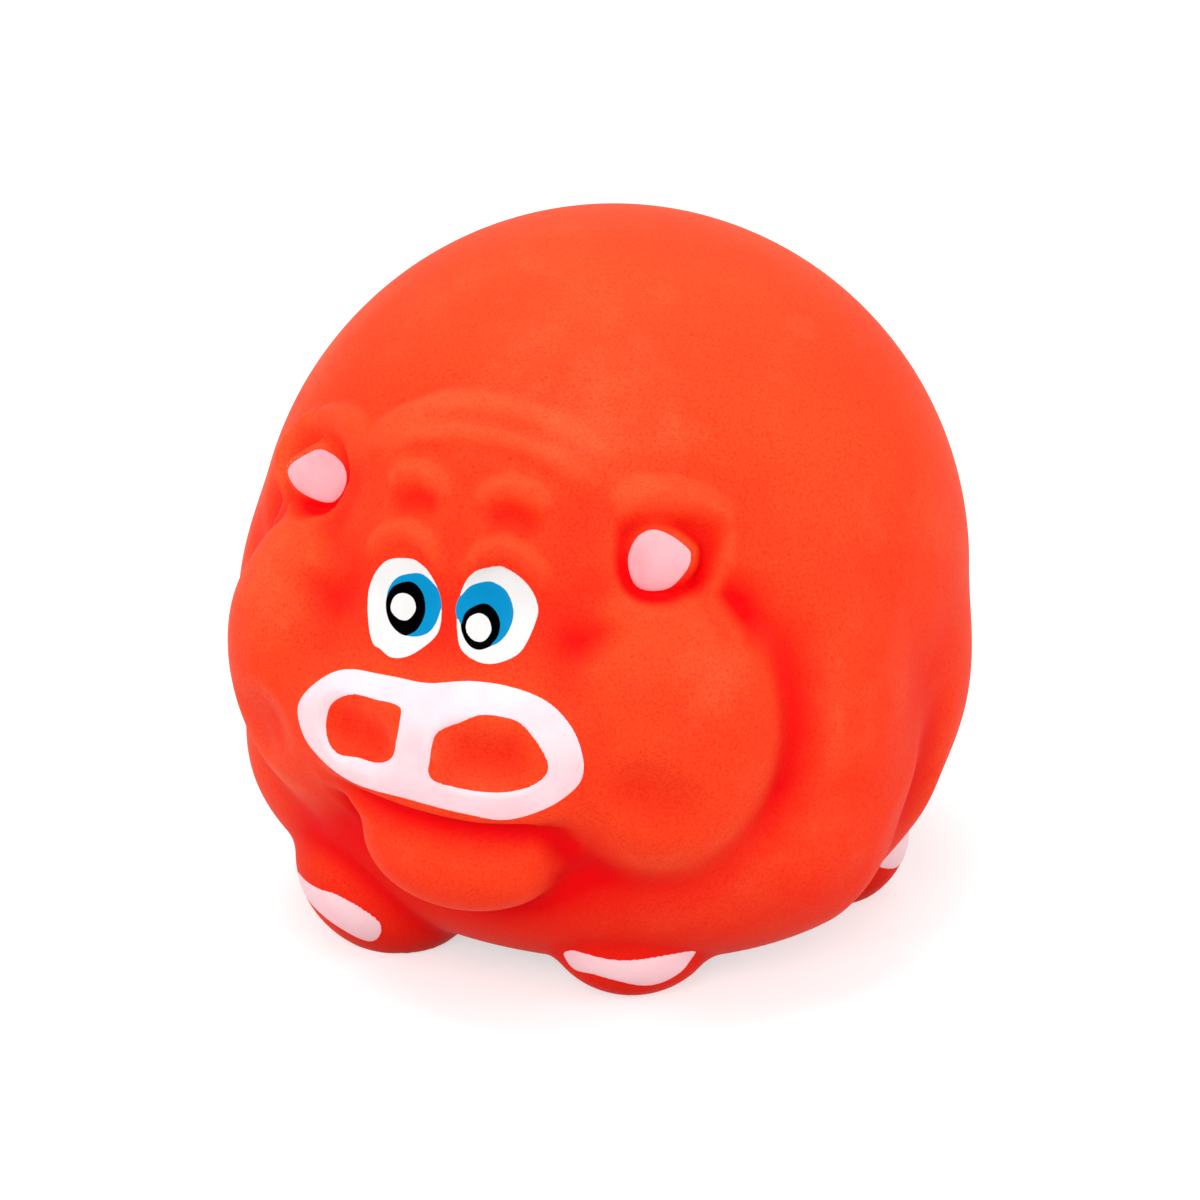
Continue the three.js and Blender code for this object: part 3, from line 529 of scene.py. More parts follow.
def blurred_radius(directions, blur):
    """The skin's radius, averaged over about the given angle round each direction."""
    turns, rises = np.meshgrid(
        np.arange(-180, 180 + BLUR_STEP, BLUR_STEP),
        np.arange(-BLUR_TOP, BLUR_TOP + 1, BLUR_STEP),
    )
    grid = direction_of(turns, rises).reshape(-1, 3).astype(np.float32)
    weights = np.exp((grid @ grid.T - 1) / (1 - math.cos(math.radians(blur))))
    weights *= np.cos(np.radians(rises)).ravel()
    blurred = (weights @ skin_radius(grid.astype(float)) / weights.sum(1)).reshape(turns.shape)
    turn = np.degrees(np.arctan2(directions[:, 0], -directions[:, 1]))
    rise = np.degrees(np.arcsin(directions[:, 2]))
    i, x = cell_and_share((turn + 180) / BLUR_STEP, turns.shape[1])
    j, y = cell_and_share((rise + BLUR_TOP) / BLUR_STEP, turns.shape[0])
    low = blurred[j, i] * (1 - x) + blurred[j, i + 1] * x
    high = blurred[j + 1, i] * (1 - x) + blurred[j + 1, i + 1] * x
    return low * (1 - y) + high * y


def painted_light_of(piece):
    """How much painted shade each point of the skin gets: from -1 for a painted highlight on a ridge or high
    up, to 1 for painted shade deep in a crease or low down.
    """
    places = (places_of(piece) - np.array(ball_middle)) / MM
    reach = np.linalg.norm(places, axis=1)
    height = places[:, 2]
    crease = (PAINTED_LIGHT_BY_HEIGHT["level"] - height) * PAINTED_LIGHT_BY_HEIGHT["gain"] + np.maximum(LOW_FROM - height, 0) * LOW_PAINTED_SHADE
    for kind in (NEAR_PAINTED_LIGHT, WIDE_PAINTED_LIGHT):
        depth = blurred_radius(places / reach[:, None], kind["blur"]) - reach
        crease += np.where(depth > 0, kind["crease"], kind["ridge"]) * np.maximum(depth, -MOST_RIDGE)
    return np.clip(crease, -1, 1)


# The painted shade and painted highlight are kept as the skin's crease attribute.
skin.data.attributes.new("crease", "FLOAT", "POINT").data.foreach_set("value", painted_light_of(skin))

LATEX_RED = linear(253, 75, 35)
LATEX_RED_DEEP = linear(252, 67, 31)
# Painted shade for the creases and low parts, and also the colour of the random specks and grain.
LATEX_RED_SHADE_AND_SPECKS = linear(232, 0, 10)
# Painted highlight for the ridges and the crown.
LATEX_RED_PAINTED_HIGHLIGHT = linear(255, 112, 68)
LATEX_BLOOM = linear(255, 104, 66)
LATEX_LAYERS = {
    "bloom": dict(color=LATEX_BLOOM, scale=45, detail=5, roughness=0.65, low=0.52, high=0.7, most=0.42),
    "specks": dict(color=LATEX_RED_SHADE_AND_SPECKS, scale=900, detail=1, roughness=0.5, low=0.72, high=0.78, most=0.3),
    "grain": dict(color=LATEX_RED_SHADE_AND_SPECKS, scale=3200, detail=2, roughness=0.7, low=0.45, high=0.65,
                  most=0.42),
}
latex, latex_shader = new_material("red_latex", LATEX_RED, 0.5)
latex_shader.inputs["Specular IOR Level"].default_value = 0.03
latex_shader.inputs["Sheen Weight"].default_value = 0.1
latex_shader.inputs["Sheen Roughness"].default_value = 0.35
latex_shader.inputs["Sheen Tint"].default_value = linear(255, 150, 90)


def mix_color(material, shader, factor, color):
    """Lays one more colour over the shader's own, by a factor socket."""
    mix = add_node(material, "ShaderNodeMixRGB", Color2=color)
    links = material.node_tree.links
    links.new(shader.inputs["Base Color"].links[0].from_socket, mix.inputs["Color1"])
    links.new(factor, mix.inputs["Fac"])
    links.new(mix.outputs["Color"], shader.inputs["Base Color"])


def share_of(material, socket, low, high, most):
    """A factor that goes from 0 to most as a socket goes from low to high."""
    ramp = add_node(material, "ShaderNodeMapRange", From_Min=low, From_Max=high, To_Max=most)
    material.node_tree.links.new(socket, ramp.inputs["Value"])
    return ramp.outputs["Result"]


vary_color(latex, latex_shader, object_noise(latex, 60, 3), (LATEX_RED_DEEP, LATEX_RED))
for layer in LATEX_LAYERS.values():
    noise = object_noise(latex, layer["scale"], layer["detail"], layer["roughness"])
    factor = share_of(latex, noise.outputs["Fac"], layer["low"], layer["high"], layer["most"])
    mix_color(latex, latex_shader, factor, layer["color"])
# Painted shade deepens the red in the creases and low down, and a painted highlight lightens it on ridges and
# the crown.
in_painted_light = add_node(latex, "ShaderNodeAttribute")
in_painted_light.attribute_name = "crease"
for color, full_at, most in ((LATEX_RED_SHADE_AND_SPECKS, 1.0, 0.97), (LATEX_RED_PAINTED_HIGHLIGHT, -0.8, 0.8)):
    mix_color(latex, latex_shader, share_of(latex, in_painted_light.outputs["Fac"], 0.0, full_at, most), color)
add_bump(latex, latex_shader, object_noise(latex, 1600, 4, 0.7), 0.08)
add_bump(latex, latex_shader, object_noise(latex, 70, 3, 0.5), 0.12)
skin.data.materials.clear()
skin.data.materials.append(latex)
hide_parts("latex_skin")
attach(skin, "toy")

# The paint. It is brushed on by hand in thin coats, and its edges wander. A grid is laid on the
# skin, standing proud of it inside the coat's outline and dipping under it outside, so that the
# edge is where the two cross. It is then given a thickness that reaches into the skin.
COAT_CELL = 0.28
COAT_MARGIN = 1.0
COAT_EDGE_SLOPE = 0.32
COAT_HEIGHT = 0.07
COAT_DEPTH = 0.3
COAT_EDGE_ANGLE = 40.0


def drop_points(piece, dropped):
    """Deletes the points of a mesh that are marked as true."""
    bpy.ops.object.mode_set(mode="EDIT")
    bpy.ops.mesh.select_all(action="DESELECT")
    bpy.ops.mesh.select_mode(type="VERT")
    bpy.ops.object.mode_set(mode="OBJECT")
    piece.data.vertices.foreach_set("select", dropped)
    bpy.ops.object.mode_set(mode="EDIT")
    bpy.ops.mesh.delete(type="VERT")
    bpy.ops.object.mode_set(mode="OBJECT")


def paint_coat(name, outline, material, over=0.0, bare=()):
    """One coat inside a smooth closed outline of turns and rises, over other coats, with bare places."""
    outline = closed_curve(outline)
    turn, rise = (outline.max(0) + outline.min(0)) / 2
    edge = on_plane(direction_of(*outline.T), turn, rise)
    low, high = edge.min(0) - COAT_MARGIN, edge.max(0) + COAT_MARGIN
    cells = np.ceil((high - low) / COAT_CELL).astype(int)
    deselect_all()
    bpy.ops.mesh.primitive_grid_add(x_subdivisions=int(cells[0]), y_subdivisions=int(cells[1]), size=1)
    piece = bpy.context.object
    piece.name = name + "_dressed"
    flat = low + (places_of(piece)[:, :2] + 0.5) * (high - low)
    depth = inside_by(flat, edge)
    for place in bare:
        bare_edge = on_plane(direction_of(*closed_curve(place).T), turn, rise)
        depth = np.minimum(depth, -inside_by(flat, bare_edge))
    across, up, out = axes_at(turn, rise)
    directions = out * BALL_RADIUS + across * flat[:, :1] + up * flat[:, 1:]
    directions /= np.linalg.norm(directions, axis=1)[:, None]
    inside = COAT_HEIGHT * np.tanh(depth * COAT_EDGE_SLOPE / COAT_HEIGHT)
    outside = np.maximum(depth * COAT_EDGE_SLOPE, -COAT_DEPTH)
    radius = skin_radius(directions) + over + np.where(depth > 0, inside, outside)
    move_places(piece, np.array(ball_middle) + directions * radius[:, None] * MM)
    drop_points(piece, depth < 0.5 * COAT_CELL - COAT_MARGIN)
    use_modifier(piece, "SOLIDIFY", thickness=COAT_DEPTH * MM, offset=-1.0)
    shade_smooth(piece, COAT_EDGE_ANGLE)
    piece.data.materials.append(material)
    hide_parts(name)
    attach(piece, "toy")


def brushed_paint(name, color, deeper, roughness, specular=0.2):
    """Hand-brushed paint: faint streaks in its colour and its thickness."""
    material, shader = new_material(name, color, roughness)
    shader.inputs["Specular IOR Level"].default_value = specular
    vary_color(material, shader, object_noise(material, 220, 3), (deeper, color), (0.3, 0.6))
    add_bump(material, shader, object_noise(material, 700, 3, 0.6), 0.03)
    return material


# The eyes: on each an oval of white, then the iris, the pupil and a glint, each dry before the
# next. They were painted by eye, so no two are alike.
EYE_WHITE = brushed_paint("eye_white_paint", linear(222, 221, 220), linear(216, 215, 214), 0.45)
EYE_BLUE = brushed_paint("iris_blue_paint", linear(0, 134, 187), linear(0, 129, 181), 0.42, 0.05)
EYE_BLACK = brushed_paint("pupil_black_paint", linear(2, 2, 3), linear(1, 1, 2), 0.55, 0.0)
EYE_COATS = [
    ("right_eye_white", EYE_WHITE, "paint_white",
     [(-8.1, 17.4), (-6.0, 16.9), (-4.2, 15.8), (-2.3, 13.6), (-1.2, 11.1), (-0.7, 8.0), (-1.4, 6.1),
      (-3.9, 3.8), (-6.6, 3.1), (-9.1, 3.8), (-10.6, 4.2), (-12.4, 6.0), (-14.2, 9.0), (-15.0, 11.5),
      (-14.2, 14.2), (-12.0, 16.5)]),
    ("right_iris", EYE_BLUE, "paint_blue",
     [(-7.5, 15.2), (-5.3, 15.4), (-3.0, 14.0), (-1.6, 11.6), (-1.4, 9.0), (-2.5, 6.9), (-5.4, 6.1),
      (-8.5, 7.2), (-10.5, 9.3), (-11.1, 11.8), (-10.0, 14.0)]),
    ("right_pupil", EYE_BLACK, "paint_black",
     [(-8.1, 13.8), (-6.3, 13.7), (-4.6, 12.2), (-3.7, 9.6), (-4.4, 7.0), (-6.4, 6.4), (-9.0, 7.7),
      (-10.6, 10.0), (-10.4, 12.4)]),
    ("right_glint", EYE_WHITE, "paint_white",
     [(-8.2, 12.0), (-6.4, 11.6), (-5.4, 10.0), (-6.2, 8.3), (-7.9, 8.2), (-9.6, 9.3), (-9.6, 11.1)]),
    ("left_eye_white", EYE_WHITE, "paint_white",
     [(7.5, 18.6), (9.3, 18.5), (12.1, 17.2), (14.1, 15.3), (15.1, 13.1), (15.0, 11.1), (14.0, 8.0),
      (12.7, 6.0), (9.7, 4.6), (6.7, 4.5), (3.8, 5.6), (2.4, 7.8), (1.7, 10.4), (1.7, 13.0), (2.6, 15.7),
      (4.7, 17.7)]),
    ("left_iris", EYE_BLUE, "paint_blue",
     [(5.9, 16.0), (7.8, 16.0), (10.0, 14.8), (11.3, 11.9), (10.7, 8.8), (8.8, 6.9), (6.2, 6.9), (3.7, 8.1),
      (1.9, 10.2), (1.7, 12.3), (3.2, 14.8)]),
    ("left_pupil", EYE_BLACK, "paint_black",
     [(5.8, 12.6), (7.8, 12.2), (9.3, 10.3), (9.1, 7.8), (6.8, 6.3), (4.7, 6.8), (3.1, 8.8), (3.3, 11.0)]),
    ("left_glint", EYE_WHITE, "paint_white",
     [(5.5, 11.1), (7.2, 10.6), (8.1, 8.9), (7.2, 7.3), (5.4, 7.2), (3.9, 8.4), (3.9, 10.1)]),
]
COAT_ORDER = ["eye_white", "iris", "pupil", "glint"]
for name, material, slot, outline in EYE_COATS:
    coats_below = COAT_ORDER.index(name.split("_", 1)[1])
    paint_coat(name, outline, material, coats_below * COAT_HEIGHT)

# The snout: one pink coat round both nostrils, which stay bare, squarer at the septum.
SNOUT_PINK = brushed_paint("snout_pink_paint", linear(253, 216, 222), linear(251, 206, 212), 0.5)
paint_coat(
    "snout_paint",
    [(-12.0, 0.7), (-5.6, 1.1), (0.4, 1.2), (6.1, 2.1), (10.5, 2.2), (14.6, 1.6), (17.9, 0.3), (20.6, -1.9),
     (22.3, -4.6), (23.0, -8.2), (22.0, -11.2), (18.2, -14.2), (12.2, -16.3), (6.6, -15.6), (-1.6, -14.6),
     (-10.3, -14.7), (-16.4, -13.8), (-20.7, -11.9), (-21.9, -8.0), (-20.4, -4.8), (-16.2, -1.0)],
    SNOUT_PINK,
    bare=(
        [(-10.5, -2.0), (-5.7, -1.7), (-2.5, -1.9), (-2.0, -3.4), (-2.3, -5.8), (-3.3, -8.8), (-6.0, -10.6),
         (-9.9, -10.9), (-13.5, -11.3), (-15.5, -9.9), (-15.9, -7.2), (-14.6, -4.4)],
        [(9.3, -1.4), (6.4, -2.6), (3.4, -4.2), (2.6, -7.3), (2.5, -10.4), (5.4, -11.5), (8.6, -11.9),
         (12.6, -11.8), (15.6, -11.0), (17.9, -9.2), (18.2, -7.0), (16.4, -4.0), (13.8, -1.8)],
    ),
)

# The ears' pads are dabbed pink all over their raised faces.
EAR_PINK = brushed_paint("ear_pink_paint", linear(253, 180, 187), linear(252, 160, 168), 0.5)
paint_coat("left_ear_paint", LEFT_PAD_OUTLINE, EAR_PINK)
paint_coat("right_ear_paint", RIGHT_PAD_OUTLINE, EAR_PINK)

# The toes: one loaded stroke across each foot.
LEFT_FRONT_TOE = [
    (16.6, -49.4), (18.4, -47.8), (22.0, -47.4), (27.0, -47.2), (32.5, -46.9), (38.0, -46.7), (43.4, -46.9),
    (42.3, -49.4), (38.6, -50.6), (34.0, -50.9), (28.0, -50.0), (22.9, -49.9), (18.4, -50.9),
]
RIGHT_FRONT_TOE = [
    (-44.0, -41.0), (-40.5, -40.7), (-35.0, -41.0), (-30.6, -41.6), (-26.6, -43.7), (-24.4, -46.4),
    (-25.6, -48.4), (-28.9, -49.2), (-33.0, -46.6), (-37.5, -44.7), (-42.5, -43.6), (-45.0, -42.6),
]
HIND_TOE = [
    (102.0, -45.0), (106.0, -43.0), (112.0, -42.2), (119.0, -42.4), (125.0, -43.4), (129.0, -45.4),
    (126.0, -47.0), (119.0, -47.6), (112.0, -48.4), (106.0, -48.8), (102.6, -47.6),
]
paint_coat("left_front_toe_paint", LEFT_FRONT_TOE, SNOUT_PINK)
paint_coat("right_front_toe_paint", RIGHT_FRONT_TOE, SNOUT_PINK)
paint_coat("left_hind_toe_paint", HIND_TOE, SNOUT_PINK)
paint_coat("right_hind_toe_paint", on_side(HIND_TOE, "toe", -1), SNOUT_PINK)

# The filling: loose polyester fibre packed tight against the inside of the skin, seen only where
# the skin is cut or clear. It is a lumpy ball with a pocket where the squeaker stands.
FIBRE_CUTS = (7, 5)
FIBRE_CLEARANCE = 0.3
FIBRE_LUMPS = 0.35
FIBRE_WAVES = [((19, 7, -11), 0.4), ((-8, 21, 9), 1.9), ((11, -13, 17), 3.1), ((-23, -5, 14), 4.7)]
POCKET_SIDES = 48
COLLAR_RADIUS = 12.0
COLLAR_HEIGHT = 3.4
BARB_RADIUS = 9.0
BARREL_TOP = 15.9
FLANGE_THICKNESS = 1.2
FLANGE_GAP = 0.3
FLANGE_UNDERSIDE = BELLY_HEIGHT - FLANGE_GAP - FLANGE_THICKNESS


def fibre_radius(directions):
    """Just clear of the hollow's wall, and further in where the fibre is lumpy."""
    lumps = sum(np.sin(directions @ np.array(way) + shift) for way, shift in FIBRE_WAVES)
    depth = FIBRE_LUMPS * (1 + lumps / len(FIBRE_WAVES))
    return hollow_radius(directions) - FIBRE_CLEARANCE - depth


fibre = blown_ball("fibre_stuffing_dressed", FIBRE_CUTS, 0.0, fibre_radius)
for radius, top in (
    (COLLAR_RADIUS, BELLY_HEIGHT + COLLAR_HEIGHT),
    (BARB_RADIUS, FLANGE_UNDERSIDE + BARREL_TOP),
):
    combine(fibre, upright_cylinder(radius + FIBRE_CLEARANCE, top + FIBRE_CLEARANCE, POCKET_SIDES))
shade_smooth(fibre, SOFT_EDGE_ANGLE)
FIBRE_WHITE = linear(239, 238, 232)
FIBRE_SHADE = linear(214, 212, 204)
fibre_white, fibre_shader = new_material("polyester_fibre", FIBRE_WHITE, 0.95)
fibre_shader.inputs["Specular IOR Level"].default_value = 0.1
fibre_shader.inputs["Sheen Weight"].default_value = 0.4
vary_color(fibre_white, fibre_shader, object_noise(fibre_white, 400, 5, 0.7), (FIBRE_SHADE, FIBRE_WHITE))
add_bump(fibre_white, fibre_shader, object_noise(fibre_white, 1500, 6, 0.7), 0.5)
add_bump(fibre_white, fibre_shader, object_noise(fibre_white, 250, 4, 0.6), 1.0)
fibre.data.materials.append(fibre_white)
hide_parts("fibre_stuffing")
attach(fibre, "toy")

# The squeaker's housing: a turned plug of white plastic with a flange under the belly, a barb that
# holds it in the skin's collar, a ledge for the tone block and a lip at its open end.
PLUG_BORE = 6.6
FLANGE_RADIUS = 11.0
GROOVE_INSIDE = 8.7
GROOVE_OUTSIDE = 9.5
GROOVE_DEPTH = 0.2
BARREL_RADIUS = 8.0
BARB_LOW = 5.2
BARB_HIGH = 7.2
LIP_RADIUS = 4.4
LIP_THICKNESS = 1.0
LEDGE_RADIUS = 5.6
LEDGE_LOW = 1.1
LEDGE_HIGH = 1.9
SMALL_EDGE = 0.14
PLASTIC_EDGE_ANGLE = 35.0


def turned(name, profile, base, sides=96):
    """A closed profile of radius and height in millimetres, turned about an upright axis."""
    deselect_all()
    bpy.ops.mesh.primitive_circle_add(vertices=len(profile), radius=MM)
    piece = bpy.context.object
    piece.name = name
    radius, height = np.array(profile).T
    move_places(piece, np.stack([radius, np.zeros(len(profile)), height], -1) * MM)
    use_modifier(piece, "SCREW", steps=sides, render_steps=sides, use_merge_vertices=True,
                 merge_threshold=0.001 * MM)
    bpy.ops.object.mode_set(mode="EDIT")
    bpy.ops.mesh.select_all(action="SELECT")
    bpy.ops.mesh.normals_make_consistent(inside=False)
    bpy.ops.object.mode_set(mode="OBJECT")
    move_places(piece, places_of(piece) + np.array(base))
    return piece


def eased(profile, edge=SMALL_EDGE):
    """The same profile with each sharp corner cut to a small flat, as moulded plastic has."""
    corners = np.array(profile, dtype=float)
    softer = []
    for before, corner, after in zip(np.roll(corners, 1, 0), corners, np.roll(corners, -1, 0)):
        for other in (before, after):
            reach = np.linalg.norm(other - corner)
            softer.append(tuple(corner + (other - corner) / reach * min(edge, reach / 3)))
    return softer


def moulded_plastic(name, color, deeper, roughness):
    material, shader = new_material(name, color, roughness)
    vary_color(material, shader, object_noise(material, 150, 3), (deeper, color))
    add_bump(material, shader, object_noise(material, 2500, 3, 0.6), 0.02)
    return material


PLASTIC_WHITE = moulded_plastic("white_plastic", linear(233, 232, 226), linear(226, 224, 216), 0.35)
plug_base = Vector((ball_middle.x, ball_middle.y, plug_low.z))
housing = turned("squeaker_housing_dressed", eased([
    (PLUG_BORE, 0),
    (GROOVE_INSIDE, 0), (GROOVE_INSIDE + GROOVE_DEPTH, GROOVE_DEPTH),
    (GROOVE_OUTSIDE - GROOVE_DEPTH, GROOVE_DEPTH), (GROOVE_OUTSIDE, 0),
    (FLANGE_RADIUS, 0), (FLANGE_RADIUS, FLANGE_THICKNESS), (BARREL_RADIUS, FLANGE_THICKNESS),
    (BARREL_RADIUS, BARB_LOW), (BARB_RADIUS, BARB_LOW), (BARREL_RADIUS, BARB_HIGH),
    (BARREL_RADIUS, BARREL_TOP), (LIP_RADIUS, BARREL_TOP),
    (LIP_RADIUS, BARREL_TOP - LIP_THICKNESS), (PLUG_BORE, BARREL_TOP - LIP_THICKNESS),
    (PLUG_BORE, LEDGE_HIGH), (LEDGE_RADIUS, LEDGE_HIGH), (LEDGE_RADIUS, LEDGE_LOW), (PLUG_BORE, LEDGE_LOW),
]), plug_base)
shade_smooth(housing, PLASTIC_EDGE_ANGLE)
housing.data.materials.append(PLASTIC_WHITE)
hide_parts("squeaker_housing")
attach(housing, "toy")

# The sound grille: a disc pressed into the housing's mouth, with seven holes, each countersunk.
GRILLE_RADIUS = 6.3
GRILLE_THICKNESS = 0.8
GRILLE_RIM = 0.15
GRILLE_TOP_EDGE = 0.1
GRILLE_HOLE_CIRCLE = 3.6
GRILLE_RING_HOLES = 6
GRILLE_HOLE_SIDES = 40
GRILLE_HOLE = [(0, -0.5), (1.5, -0.5), (0.98, 0.12), (0.9, 0.25), (0.9, 1.5), (0, 1.5)]
grille = turned("sound_grille_dressed", [
    (0, 0), (GRILLE_RADIUS - GRILLE_RIM, 0), (GRILLE_RADIUS, GRILLE_RIM),
    (GRILLE_RADIUS, GRILLE_THICKNESS - GRILLE_TOP_EDGE),
    (GRILLE_RADIUS - GRILLE_TOP_EDGE, GRILLE_THICKNESS), (0, GRILLE_THICKNESS),
], plug_base)
hole_angles = [math.tau * step / GRILLE_RING_HOLES for step in range(GRILLE_RING_HOLES)]
hole_places = [Vector((math.cos(angle), math.sin(angle), 0)) * GRILLE_HOLE_CIRCLE for angle in hole_angles]
for hole_place in hole_places + [Vector((0, 0, 0))]:
    combine(grille, turned("hole", GRILLE_HOLE, plug_base + hole_place * MM, GRILLE_HOLE_SIDES))
shade_smooth(grille, PLASTIC_EDGE_ANGLE)
grille.data.materials.append(PLASTIC_WHITE)
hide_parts("sound_grille")
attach(grille, "toy")

# The dust screen: woven nylon that keeps the fibre out of the reed. It is a grid made into
# threads and cut round, over and under in turn.
SCREEN_MESHES = 22
SCREEN_LOW = 14.2
SCREEN_HIGH = 14.6
SCREEN_THREAD = 0.2
SCREEN_WAVE = 0.05
SCREEN_RIM = 0.7
SCREEN_TRIM = 0.3
SCREEN_SIDES = 64
SCREEN_EDGE = 0.1
SCREEN_EDGE_ANGLE = 40.0
deselect_all()
bpy.ops.mesh.primitive_grid_add(x_subdivisions=SCREEN_MESHES, y_subdivisions=SCREEN_MESHES,
                                size=2 * GRILLE_RADIUS * MM)
screen = bpy.context.object
screen.name = "dust_screen_dressed"
crossings = places_of(screen)
cells = np.rint((crossings[:, :2] / MM / GRILLE_RADIUS + 1) * SCREEN_MESHES / 2)
waves = np.where(cells.sum(1) % 2 > 0, SCREEN_WAVE, -SCREEN_WAVE)
crossings[:, 2] = ((SCREEN_LOW + SCREEN_HIGH) / 2 + waves) * MM
move_places(screen, crossings + np.array(plug_base))
use_modifier(screen, "WIREFRAME", thickness=SCREEN_THREAD * MM, use_boundary=True)
trim = GRILLE_RADIUS - SCREEN_TRIM
combine(screen, turned(
    "trim", [(0, SCREEN_LOW - 1), (trim, SCREEN_LOW - 1), (trim, SCREEN_HIGH + 1), (0, SCREEN_HIGH + 1)],
    plug_base, SCREEN_SIDES,
), "INTERSECT")
combine(screen, turned("rim", eased([
    (GRILLE_RADIUS - SCREEN_RIM, SCREEN_LOW), (GRILLE_RADIUS, SCREEN_LOW), (GRILLE_RADIUS, SCREEN_HIGH),
    (GRILLE_RADIUS - SCREEN_RIM, SCREEN_HIGH),
], SCREEN_EDGE), plug_base, SCREEN_SIDES), "UNION")
shade_smooth(screen, SCREEN_EDGE_ANGLE)
screen.data.materials.append(moulded_plastic("grey_nylon", linear(185, 186, 184), linear(170, 171, 168), 0.6))
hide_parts("dust_screen")
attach(screen, "toy")

# The tone block, its wedge and the reed keep the shapes that the construction gives them. Their
# edges are eased as moulded and stamped ones are, and each is given its own finish.
MOULDED_EDGE = 0.1
STAMPED_EDGE = 0.04
SHARP_ANGLE = 40.0


def keep_node(name, material, edge):
    """Gives a piece of the construction its finish and narrow bevels, and leaves its shape alone."""
    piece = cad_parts[name]
    piece.data.materials.clear()
    piece.data.materials.append(material)
    bevel = piece.modifiers.new("Eased edges", "BEVEL")
    bevel.width = edge * MM
    bevel.segments = 2
    bevel.limit_method = "ANGLE"
    bevel.angle_limit = math.radians(SHARP_ANGLE)


PLASTIC_AMBER = moulded_plastic("amber_plastic", linear(216, 201, 160), linear(205, 188, 142), 0.3)
keep_node("tone_block", PLASTIC_AMBER, MOULDED_EDGE)
keep_node("reed_wedge", PLASTIC_AMBER, MOULDED_EDGE)
BRASS = linear(201, 162, 74)
brass, brass_shader = new_material("rolled_brass", BRASS, 0.3)
brass_shader.inputs["Metallic"].default_value = 1.0
vary_color(brass, brass_shader, object_noise(brass, 500, 3), (linear(184, 142, 60), BRASS))
add_bump(brass, brass_shader, object_noise(brass, 4000, 3, 0.6), 0.01)
keep_node("squeaker_reed", brass, STAMPED_EDGE)

# The floor and the light. The toy stands in a white light tent: a pale floor that keeps its
# shadow, and soft white light from all round, with most of it from above and in front.
FLOOR_RADIUS = 4.0
FLOOR_GLOW = 0.58
TENT_LEVEL = 0.4
TENT_LOW = dict(height=-0.1, share=0.8)
TENT_HIGH = dict(height=0.7, share=1.2)


def seen_directly(owner):
    """A socket that is 1 for the camera and for reflections, and 0 for the light that falls on things."""
    ray = add_node(owner, "ShaderNodeLightPath")
    either = add_node(owner, "ShaderNodeMath")
    either.operation = "MAXIMUM"
    owner.node_tree.links.new(ray.outputs["Is Camera Ray"], either.inputs[0])
    owner.node_tree.links.new(ray.outputs["Is Glossy Ray"], either.inputs[1])
    return either.outputs[0]


deselect_all()
bpy.ops.mesh.primitive_circle_add(vertices=96, radius=FLOOR_RADIUS, fill_type="NGON")
floor = bpy.context.object
floor.name = "floor"
floor_paint, floor_shader = new_material("floor_white", linear(205, 205, 205), 0.9)
floor_shader.inputs["Specular IOR Level"].default_value = 0.0
floor_shader.inputs["Emission Color"].default_value = (1, 1, 1, 1)
floor_paint.node_tree.links.new(
    share_of(floor_paint, seen_directly(floor_paint), 0.0, 1.0, FLOOR_GLOW),
    floor_shader.inputs["Emission Strength"],
)
floor.data.materials.append(floor_paint)

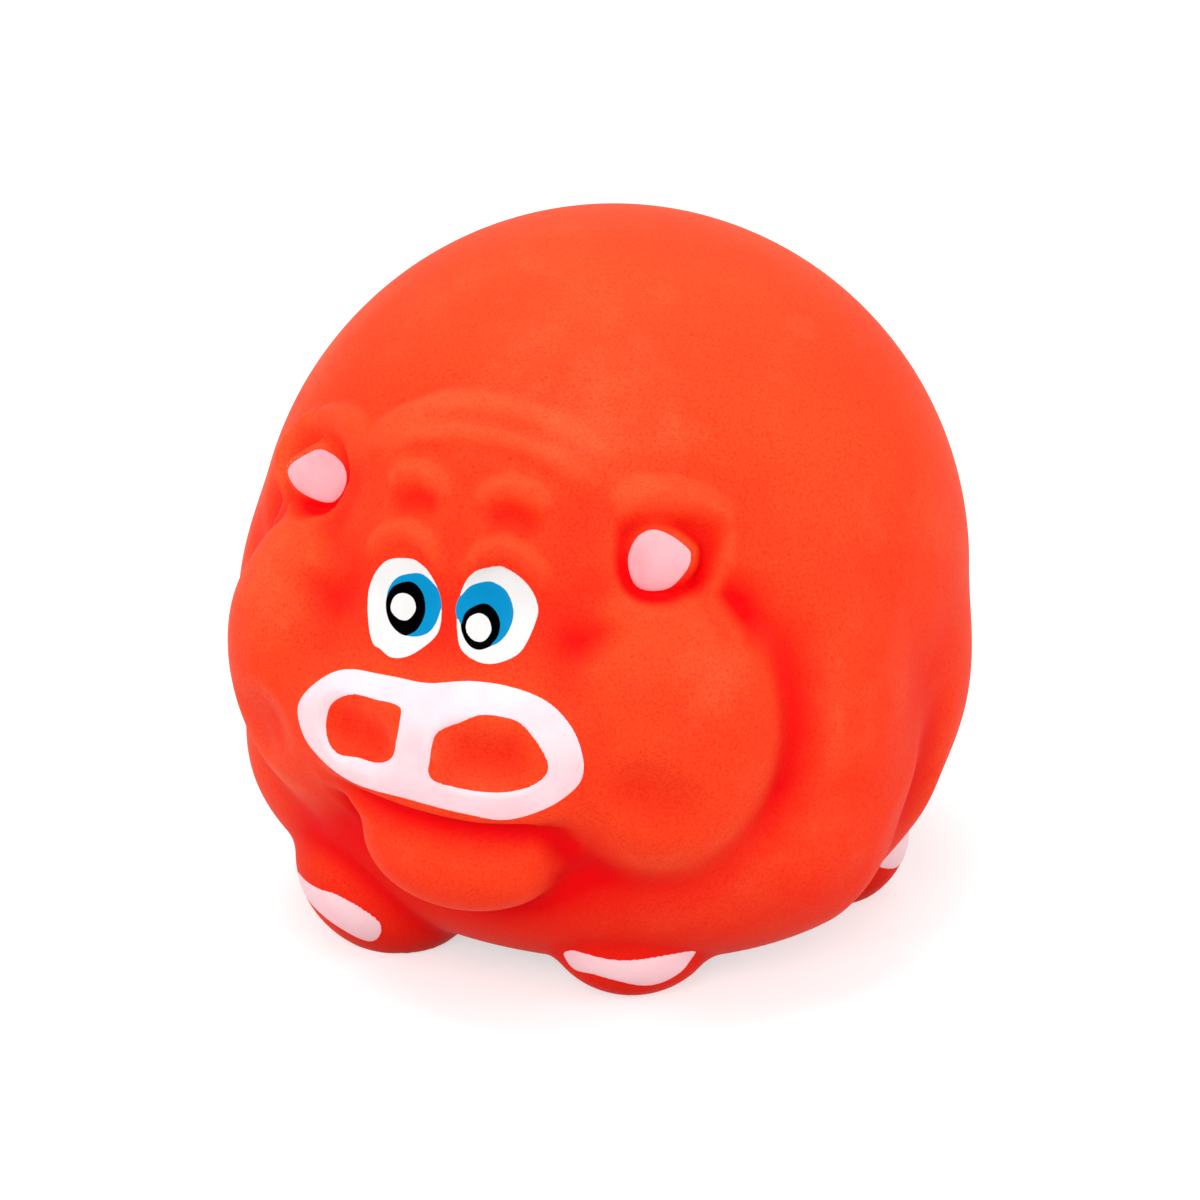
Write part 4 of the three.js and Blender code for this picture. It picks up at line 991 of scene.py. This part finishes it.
world = bpy.data.worlds.new("tent")
bpy.context.scene.world = world
world.use_nodes = True
background = world.node_tree.nodes["Background"]
background.inputs["Color"].default_value = (1, 1, 1, 1)
way = add_node(world, "ShaderNodeTexCoord")
way_parts = add_node(world, "ShaderNodeSeparateXYZ")
tent = add_node(
    world, "ShaderNodeMapRange",
    From_Min=TENT_LOW["height"], To_Min=TENT_LOW["share"] * TENT_LEVEL,
    From_Max=TENT_HIGH["height"], To_Max=TENT_HIGH["share"] * TENT_LEVEL,
)
strength = add_node(world, "ShaderNodeMapRange", To_Max=1.0)
for socket, reader in (
    (way.outputs["Generated"], way_parts.inputs["Vector"]),
    (way_parts.outputs["Z"], tent.inputs["Value"]),
    (tent.outputs["Result"], strength.inputs["To Min"]),
    (seen_directly(world), strength.inputs["Value"]),
    (strength.outputs["Result"], background.inputs["Strength"]),
):
    world.node_tree.links.new(socket, reader)

LAMPS = [
    dict(name="top_light", place=(-0.05, -0.15, 0.95), size=0.5, power=4.2),
    dict(name="front_light", place=(0.2, -0.87, 0.45), size=0.6, power=4.7),
    dict(name="left_light", place=(-0.85, -0.4, 0.35), size=0.5, power=1.9),
    dict(name="right_light", place=(0.9, 0.2, 0.3), size=0.5, power=3.4),
]
for lamp in LAMPS:
    deselect_all()
    bpy.ops.object.light_add(type="AREA", location=lamp["place"])
    light = bpy.context.object
    light.name = lamp["name"]
    light.data.shape = "DISK"
    light.data.size = lamp["size"]
    light.data.energy = lamp["power"]
    light.rotation_euler = (ball_middle - Vector(lamp["place"])).to_track_quat("-Z", "Y").to_euler()

# The camera stands where the photographer's did: round to the pig's left of its nose, a little above
# it, and aimed just low and left of the ball's middle.
CAMERA_TURN = 27.0
CAMERA_RISE = 20.5
CAMERA_DISTANCE = 650.0
CAMERA_LENS = 159.2
AIM_RIGHT = -1.556
AIM_UP = -4.496
turn, rise = math.radians(CAMERA_TURN), math.radians(CAMERA_RISE)
back = Vector((math.sin(turn) * math.cos(rise), -math.cos(turn) * math.cos(rise), math.sin(rise)))
right = Vector((math.cos(turn), math.sin(turn), 0))
up = back.cross(right)
aim = ball_middle + (right * AIM_RIGHT + up * AIM_UP) * MM
deselect_all()
bpy.ops.object.camera_add(location=aim + back * CAMERA_DISTANCE * MM)
camera = bpy.context.object
camera.rotation_euler = (-back).to_track_quat("-Z", "Y").to_euler()
camera.data.lens = CAMERA_LENS
camera.data.sensor_width = 36.0
camera.data.clip_start = 0.01
camera.data.clip_end = 20.0
bpy.context.scene.camera = camera
bpy.context.scene.view_settings.view_transform = "Standard"
